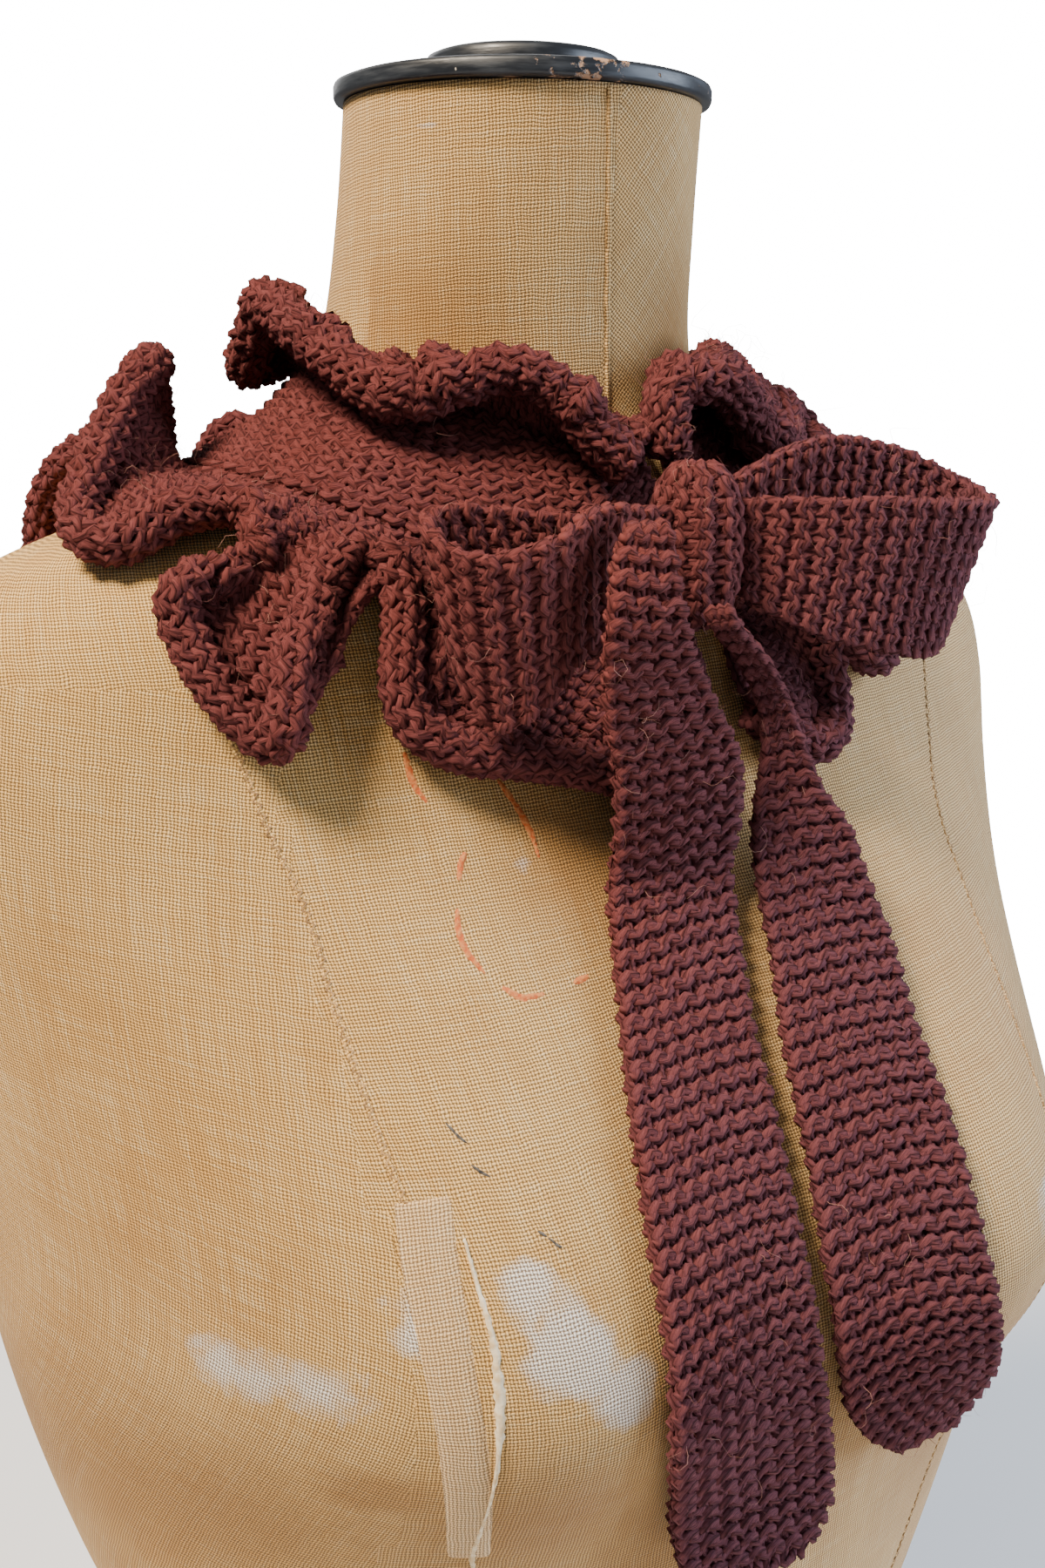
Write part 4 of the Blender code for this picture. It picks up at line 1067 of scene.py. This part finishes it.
def gathered_up(grid, flutes, gathers, puff):
    """The sheet raised away from the form by its flutes, and along its normals by its root's gathers.

    A flute adds h exp(-((s - at) / wide)^2), eased in towards the free edge, with s from 0 to 1 along
    the sheet. The gathers add puff (1 + cos(2 pi n s + drift)) sin(pi w), with w across it.
    """
    s = between(0, 1, len(grid))[:, None]
    w = between(0, 1, grid.shape[1])[None, :]
    ridge = sum(high * np.exp(-((s - at) / wide) ** 2) for at, wide, high in flutes)
    drift = sum(high * np.sin(turns * np.pi * s + start) for high, turns, start in DRIFT)
    fold = puff * (1 + np.cos(2 * np.pi * gathers * s + drift + LEANING * np.sin(2 * np.pi * w)))
    grid = grid + grid_normals(grid) * (fold * np.sin(np.pi * w))[..., None]
    return grid + unit(grid * LEVEL) * (ridge * w * (2 - w))[..., None]


def rolled_sheet(middle, steps, rolled, flutes, gathers, puff):
    """A ruffle's sheet at even lengths across it, dipping to its rolled edge and then winding up in it."""
    rows = middle.shape[1] - 1
    grid = finer(middle, steps, FINER * rows + 1)[:, :FINER * (rows - 1) + 1]
    flat, reach = even_sheet(gathered_up(grid, flutes, gathers, puff), JOIN, 0)
    reach = blurred(reach, ROLL_BLUR)[:, None]
    lengths = np.arange(flat.shape[1])[None, :] * STEP + 0 * reach
    cuts = np.arange(0, reach.max() + rolled.wrap + STEP, STEP)[None, :] + 0 * reach
    inside = np.minimum(cuts, reach)
    up = unit(read_lines(grid_normals(flat), lengths, inside))
    dip = np.clip((inside - (reach - rolled.drop)) / rolled.drop, 0, 1)
    dip = (rolled.radius - rolled.lift) * dip ** 2 * (3 - 2 * dip)
    plain = read_lines(flat, lengths, inside) - up * dip[..., None]
    rim = read_lines(flat, lengths, reach)[:, 0]
    out = unit(rim - read_lines(flat, lengths, reach - EDGE_RUN)[:, 0])
    along = unit(np.gradient(blurred(rim, ROLL_BLUR), axis=0))
    rise = unit(blurred(up[:, -1], ROLL_BLUR)) + AWAY_SHARE * unit(rim * LEVEL)
    rise = unit(rise - along * (along * rise).sum(1, keepdims=True))
    aside = np.cross(along, rise)
    out = aside * np.where((out * aside).sum(1, keepdims=True) < 0, -1, 1)
    out = unit(blurred(out, ROLL_BLUR))
    past = np.maximum(cuts - reach, 0)
    radius = rolled.radius * (1 - ROLL_TIGHTENS * past / rolled.wrap)
    turn = past / rolled.radius - np.pi / 2
    roll = rim[:, None] + (radius * np.cos(turn))[..., None] * out[:, None] \
        + (radius * np.sin(turn) + rolled.lift)[..., None] * rise[:, None]
    return np.where((cuts > reach)[..., None], roll, plain), reach[:, 0] + rolled.wrap


# %% [markdown]
# ## Knitting
#
# One row of knitting is one strand that snakes up and down while it travels sideways. With t going
# once round per stitch:
#
# - along the row: stitch (t / 2 pi + bulge sin 2t), which makes each loop wider than its neck;
# - across the rows: tall cos t, so each loop reaches into the row above and the row below;
# - through the cloth: depth cos 2t for stocking stitch, where the heads and feet of the loops lie
#   outside as its bumps, turned over in the rows of a roll; or depth cos t, turned over in every
#   other row, for garter stitch, which makes ridges.
#
# The strand's place is then read off the sheet at (along, across) and moved off it along the normal.

# %% Rows of loops over a sheet
def read_grid(grid, along, across):
    """A grid of vectors at fractional places along and across it; past its edges it carries on straight."""
    i = np.clip(np.floor(along).astype(int), 0, grid.shape[0] - 2)
    k = np.clip(np.floor(across).astype(int), 0, grid.shape[1] - 2)
    f, g = (along - i)[..., None], (across - k)[..., None]
    low = grid[i, k] * (1 - f) + grid[i + 1, k] * f
    high = grid[i, k + 1] * (1 - f) + grid[i + 1, k + 1] * f
    return low * (1 - g) + high * g


def wobble(rows, stitches, turn):
    """Random numbers from -1 to 1 for each stitch, eased from one to the next along each row."""
    values = chance.uniform(-1, 1, (rows, stitches + 2))
    place = turn / (2 * np.pi)
    i = np.minimum(place.astype(int), stitches)
    f = place - i
    f = f * f * (3 - 2 * f)
    return values[:, i] * (1 - f) + values[:, i + 1] * f


def knit_rows(sheet, normals, ends, rows, gauge, stocking, rolled_up):
    """Strands for these row numbers, all with as many stitches as the row in their middle needs.

    Row k runs (k + 1/2) rows out from the sheet's start, or else, where its end is rolled up, in from that
    end. Stocking stitch has its bumps on the outside, on the roll as well as on the cloth below it.
    """
    place = np.arange(len(sheet), dtype=float)
    offset = (rows + 0.5) * gauge.row
    side, way = (ends, -1) if rolled_up else (0 * ends, 1)
    middle_line = np.clip(side + way * offset.mean(), 0, ends)
    length = run_along(read_grid(sheet, place, middle_line / STEP))
    stitches = max(3, round(length[-1] / gauge.stitch))
    turn = between(0, 2 * np.pi * stitches, STITCH_POINTS * stitches + 1)

    def stray():
        return gauge.uneven * wobble(len(rows), stitches, turn)
    along = (turn / (2 * np.pi) + LOOP_BULGE * np.sin(2 * turn))[None, :] + stray()
    along = np.interp(along * length[-1] / stitches, length, place)
    middle = np.interp(along, place, side) + way * offset[:, None]
    across = middle + gauge.row * (LOOP_TALL * np.cos(turn) * (1 + stray()) + stray())
    over = (offset < rolled_up if stocking else rows % 2 == 1)[:, None]
    depth = np.cos((2 if stocking else 1) * turn)[None, :] * np.where(over, -1, 1)
    depth = LOOP_DEPTH * (depth + 2 * stray())
    up = unit(read_grid(normals, along, across / STEP))
    path = read_grid(sheet, along, across / STEP) + up * depth[..., None]
    keep = (middle > ROOT) & (middle < np.interp(along, place, ends))
    points, faces, uv = tube(path, up, gauge.yarn * (1 + 0.5 * stray()), YARN_SIDES, keep)
    return points, faces, [u / (PLY_PITCH, 1) for u in uv]


def knitted(sheet, ends, group, gauge, stocking, rolled_up=0.0):
    """All the rows of a sheet, a group of rows at a time."""
    normals = grid_normals(sheet)
    total = int((ends.max() - ROOT) / gauge.row)
    print(total, "rows of", "stocking" if stocking else "garter", "stitch")
    return [knit_rows(sheet, normals, ends, np.arange(first, min(first + group, total)), gauge, stocking,
                      rolled_up) for first in range(0, total, group)]


def backing(name, sheet, ends, skip_along, skip_across):
    """The sheet itself, thinned out, without what lies past its end: the inside of the knitting."""
    kept = np.unique(np.append(np.arange(0, sheet.shape[0], skip_along), sheet.shape[0] - 1))
    size = np.arange(0, sheet.shape[1], skip_across)
    points = sheet[kept][:, size].reshape(-1, 3)
    faces = grid_faces(len(kept), len(size))
    inside = (size[None, :] * STEP < ends[kept][:, None]).ravel()
    faces = faces[inside[faces].all(1)]
    piece = mesh_piece(name, (points, [faces[:, ::-1]], None), INSIDE_SHADE, "wool")
    a, b, c, d = points[faces].transpose(1, 0, 2)
    area = float((0.5 * np.linalg.norm(np.cross(c - a, d - b), axis=1)).sum())
    print(f"{name}: {area:.4f} m2 of cloth")
    return piece, area


def knit_piece(name, node, sheet, ends, group, gauge, skips, stocking=True, rolled_up=0.0, outer=0,
               beyond=0.0):
    """A sheet's yarn, and its cloth in place of a node; gives the cloth, the yarn's pieces and the area.

    The first outer groups of rows are a piece of their own. The cloth goes on beyond the yarn's end.
    """
    parts = knitted(sheet, ends, group, gauge, stocking, rolled_up)
    halves = {"_inner": parts[outer:], "_outer": parts[:outer]} if outer else {"": parts}
    yarn = [mesh_piece(f"{name}_yarn{half}", gathered(rows), WOOL, "wool") for half, rows in halves.items()]
    cloth, area = backing(f"{name}_cloth", sheet, ends + beyond, *skips)
    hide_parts(node)
    return cloth, yarn, area


# %% Knit the band
BAND_JOIN = JOIN - 0.5 * MM   # how far the band's knitting reaches over its seams with the ruffles
BAND_LINES, STRAP_LINES, UPPER_LINES, LOWER_LINES = (280, 25), (400, 25), 440, 740
band_grid, band_reach = even_sheet(finer(band_middle, *BAND_LINES), BAND_JOIN, BAND_JOIN)
band_cloth, band_yarn, _ = knit_piece("band", "neck_band", band_grid, band_reach, 4, RUFFLE_GAUGE, (3, 4))


# %% Knit the ruffles
def knit_ruffle(name, middle, steps, rolled, flutes, gathers, puff, skip_along, outer=0):
    """A ruffle's yarn and cloth, with its flat size: its reach, and its length along its free edge."""
    grid, reach = rolled_sheet(middle, steps, rolled, flutes, gathers, puff)
    cloth, yarn, area = knit_piece(name, name, grid, reach, 3, RUFFLE_GAUGE, (skip_along, 3), True,
                                   rolled.wrap, outer)
    edge = read_grid(grid, np.arange(len(grid), dtype=float), (reach - rolled.wrap) / STEP)
    long_edge, widest = float(run_along(edge)[-1]), float(reach.max())
    print(name, "edge", round(long_edge, 3), "m, widest", round(widest, 3), "m")
    return grid, reach - rolled.wrap / 2, False


ROLLED_GROUPS = 3          # groups of rows, counted from the free edge, in the lower ruffle's outer piece
# Columns: place along the ruffle, height, half width.
FLUTES = [(0.881, 0.010, 15 * MM), (0.836, 0.007, 7 * MM), (0.24, 0.009, 6 * MM), (0.40, 0.009, 6 * MM)]
ruffle_sheets = [knit_ruffle(*sizes) for sizes in (
    ("upper_ruffle", upper_middle, UPPER_LINES, UPPER_ROLL, [], 15, 3.2 * MM, 3),
    ("lower_ruffle", lower_middle, LOWER_LINES, LOWER_ROLL, FLUTES, 34, 1.8 * MM, 4, ROLLED_GROUPS))]

# %% [markdown]
# ## The bow
#
# The ties and loops are garter-stitch strips, about eight stitches wide, knitted back and forth, so
# their rows run across them. A loop stands on its edge, and a tie hangs down the front of the form.

# %% Straps and ties
def strap_middle(table):
    """A strap standing on edge, whose width runs up and leans by the table's angle."""
    side, out, height, half, lean = blend_rows(table, LOOP_STEPS).T
    path = np.column_stack([side, -out, height]) * MM
    lean = np.radians(lean)[:, None]
    width = np.cos(lean) * PLUMB + np.sin(lean) * beside(path, PLUMB)
    across = between(-1, 1, STRAP_ROWS)[None, :, None]
    return path[:, None, :] + across * width[:, None, :] * (half * MM)[:, None, None]


def tie_middle(table):
    """A tie that hangs down the form's front, its width following the form."""
    *sizes, twist = blend_rows(table, TIE_STEPS).T[..., None]
    height, side, off, half = np.array(sizes) * MM
    twist = np.radians(twist)
    across = between(-1, 1, STRAP_ROWS)[None, :] * half
    x = side + across * np.cos(twist)
    z = height + 0 * across
    return np.stack([x, form_front(x, z) - off - CLEAR + across * np.sin(twist), z], -1)


def knit_strap(name, middle, gauge):
    """Rows across a strap, a pair at a time, each with as many stitches as the strap is wide there."""
    grid, reach = even_sheet(finer(middle, *STRAP_LINES).transpose(1, 0, 2), 0.0, 0.0)
    length = float(np.median(reach))
    lined = read_lines(grid, np.arange(grid.shape[1])[None, :] * STEP + 0 * reach[:, None],
                       np.arange(0, length, STEP)[None, :] * (reach / length)[:, None])
    cloth, yarn, area = knit_piece(name, name, lined, np.full(len(lined), length), 2, gauge, (3, 4), False)
    return lined


strips = [knit_strap(f"tie_{side}", tie_middle(table), TIE_GAUGE)
          for side, table in (("left", LEFT_TIE), ("right", RIGHT_TIE))]
strips += [knit_strap(f"bow_loop_{side}", strap_middle(table), LOOP_GAUGE)
           for side, table in (("left", LEFT_LOOP), ("right", RIGHT_LOOP))]

# %% [markdown]
# ## The knot
#
# The knot is a turn of the same strip round the middle of the bow. Its surface is a barrel, a
# superellipsoid: cos and sin raised to a power below one, which flattens its sides. The rows run
# up and down it.

# %% Knit the knot
KNOT_MIDDLE, KNOT_HALF = np.array((0.0055, -0.1030, 0.5855)), np.array((0.0105, 0.0120, 0.0225))
KNOT_SQUARE, KNOT_END, KNOT_WIDE, KNOT_LINES = 0.75, 80, 0.045, (48, 97)


def soft_power(value):
    return np.sign(value) * np.abs(value) ** KNOT_SQUARE


def knot_sheet():
    """The barrel's points, and the length round its widest line."""
    up = np.radians(between(-KNOT_END, KNOT_END, KNOT_LINES[0]))[:, None]
    turn = between(0, 2 * np.pi, KNOT_LINES[1])[None, :]
    barrel = np.stack([soft_power(np.cos(up)) * soft_power(np.sin(turn)),
                       -soft_power(np.cos(up)) * soft_power(np.cos(turn)),
                       soft_power(np.sin(up)) + 0 * turn], -1)
    grid = barrel * (KNOT_HALF - 0.5 * MM) + KNOT_MIDDLE
    lengths = run_along(grid)
    cuts = between(0, 1, int(lengths.max() / STEP))[None, :] * lengths[:, -1:]
    return read_lines(grid, lengths, cuts), lengths.max()


knot_grid, knot_round = knot_sheet()
knot_ends = np.full(len(knot_grid), knot_round)
knot_cloth, knot_yarn, knot_area = knit_piece(
    "knot", "bow_knot", knot_grid, knot_ends, 2, LOOP_GAUGE, (3, 3), False, beyond=STEP)

# %% [markdown]
# ## Loose fibres
#
# Hand-spun wool is hairy: short fibres stand off every strand, and a few long pale ones lie in curls
# over the collar. Each is a thin tapering tube. It leaves the cloth at a random place, in a direction
# between the normal and a random one, and curls round that line: length s d + curl s (sin, cos).

# %% Scatter the fibres
PLACES, CURL_TURNS, STRAIGHTEN, TAPER = (0.1, 0.99), (3, 8), 0.4, 0.7


def fibres(name, sheets, count, lengths, thick, lean, curl, look, points_each):
    """Hairs from random places of some sheets; (grid, ends, both) says where, and if from both sides."""
    share = np.array([grid.shape[0] * ends.mean() for grid, ends, _ in sheets])
    paths, ups = [], []
    s = between(0, 1, points_each)[None, :, None]
    for (grid, ends, both), many in zip(sheets, (count * share / share.sum()).astype(int)):
        along = chance.uniform(1, len(grid) - 2, many)
        across = chance.uniform(*PLACES, many) * np.interp(along, np.arange(len(grid)), ends) / STEP
        up = unit(read_grid(grid_normals(grid), along, across))
        if both:
            up *= chance.choice([-1, 1], many)[:, None]
        way = unit(up + lean * unit(chance.normal(size=(many, 3))))
        side = unit(np.cross(way, chance.normal(size=(many, 3))))
        other = np.cross(way, side)
        long = chance.uniform(*lengths, (many, 1, 1))
        phase = chance.uniform(0, 2 * np.pi, (many, 1, 1)) + chance.uniform(*CURL_TURNS, (many, 1, 1)) * s
        bend = curl * long * s ** 1.5
        start = read_grid(grid, along, across) + up * RUFFLE_GAUGE.yarn
        paths.append(start[:, None] + way[:, None] * long * s * (1 - STRAIGHTEN * s)
                     + bend * (np.sin(phase) * side[:, None] + np.cos(phase) * other[:, None]))
        ups.append(np.broadcast_to(side[:, None], paths[-1].shape))
    taper = thick * (1 - TAPER * between(0, 1, points_each))[None, :]
    points, faces, _ = tube(np.concatenate(paths), np.concatenate(ups), taper, 3)
    mesh_piece(name, (points, faces, None), look, "wool")


SHORT, LONG = (3 * MM, 8 * MM), (7 * MM, 20 * MM)
bow_sheets = [(g, np.full(len(g), (g.shape[1] - 2) * STEP), True) for g in (*strips, knot_grid)]
fibres("ruffle_fluff", ruffle_sheets, 3300, SHORT, 0.09 * MM, 1.5, 0.3, FLUFF, 3)
fibres("bow_fluff", bow_sheets, 2500, SHORT, 0.09 * MM, 1.5, 0.3, FLUFF, 3)
fibres("long_fibres", ruffle_sheets + bow_sheets, 650, LONG, 0.08 * MM, 2.0, 0.35, GREY_HAIR, 8)
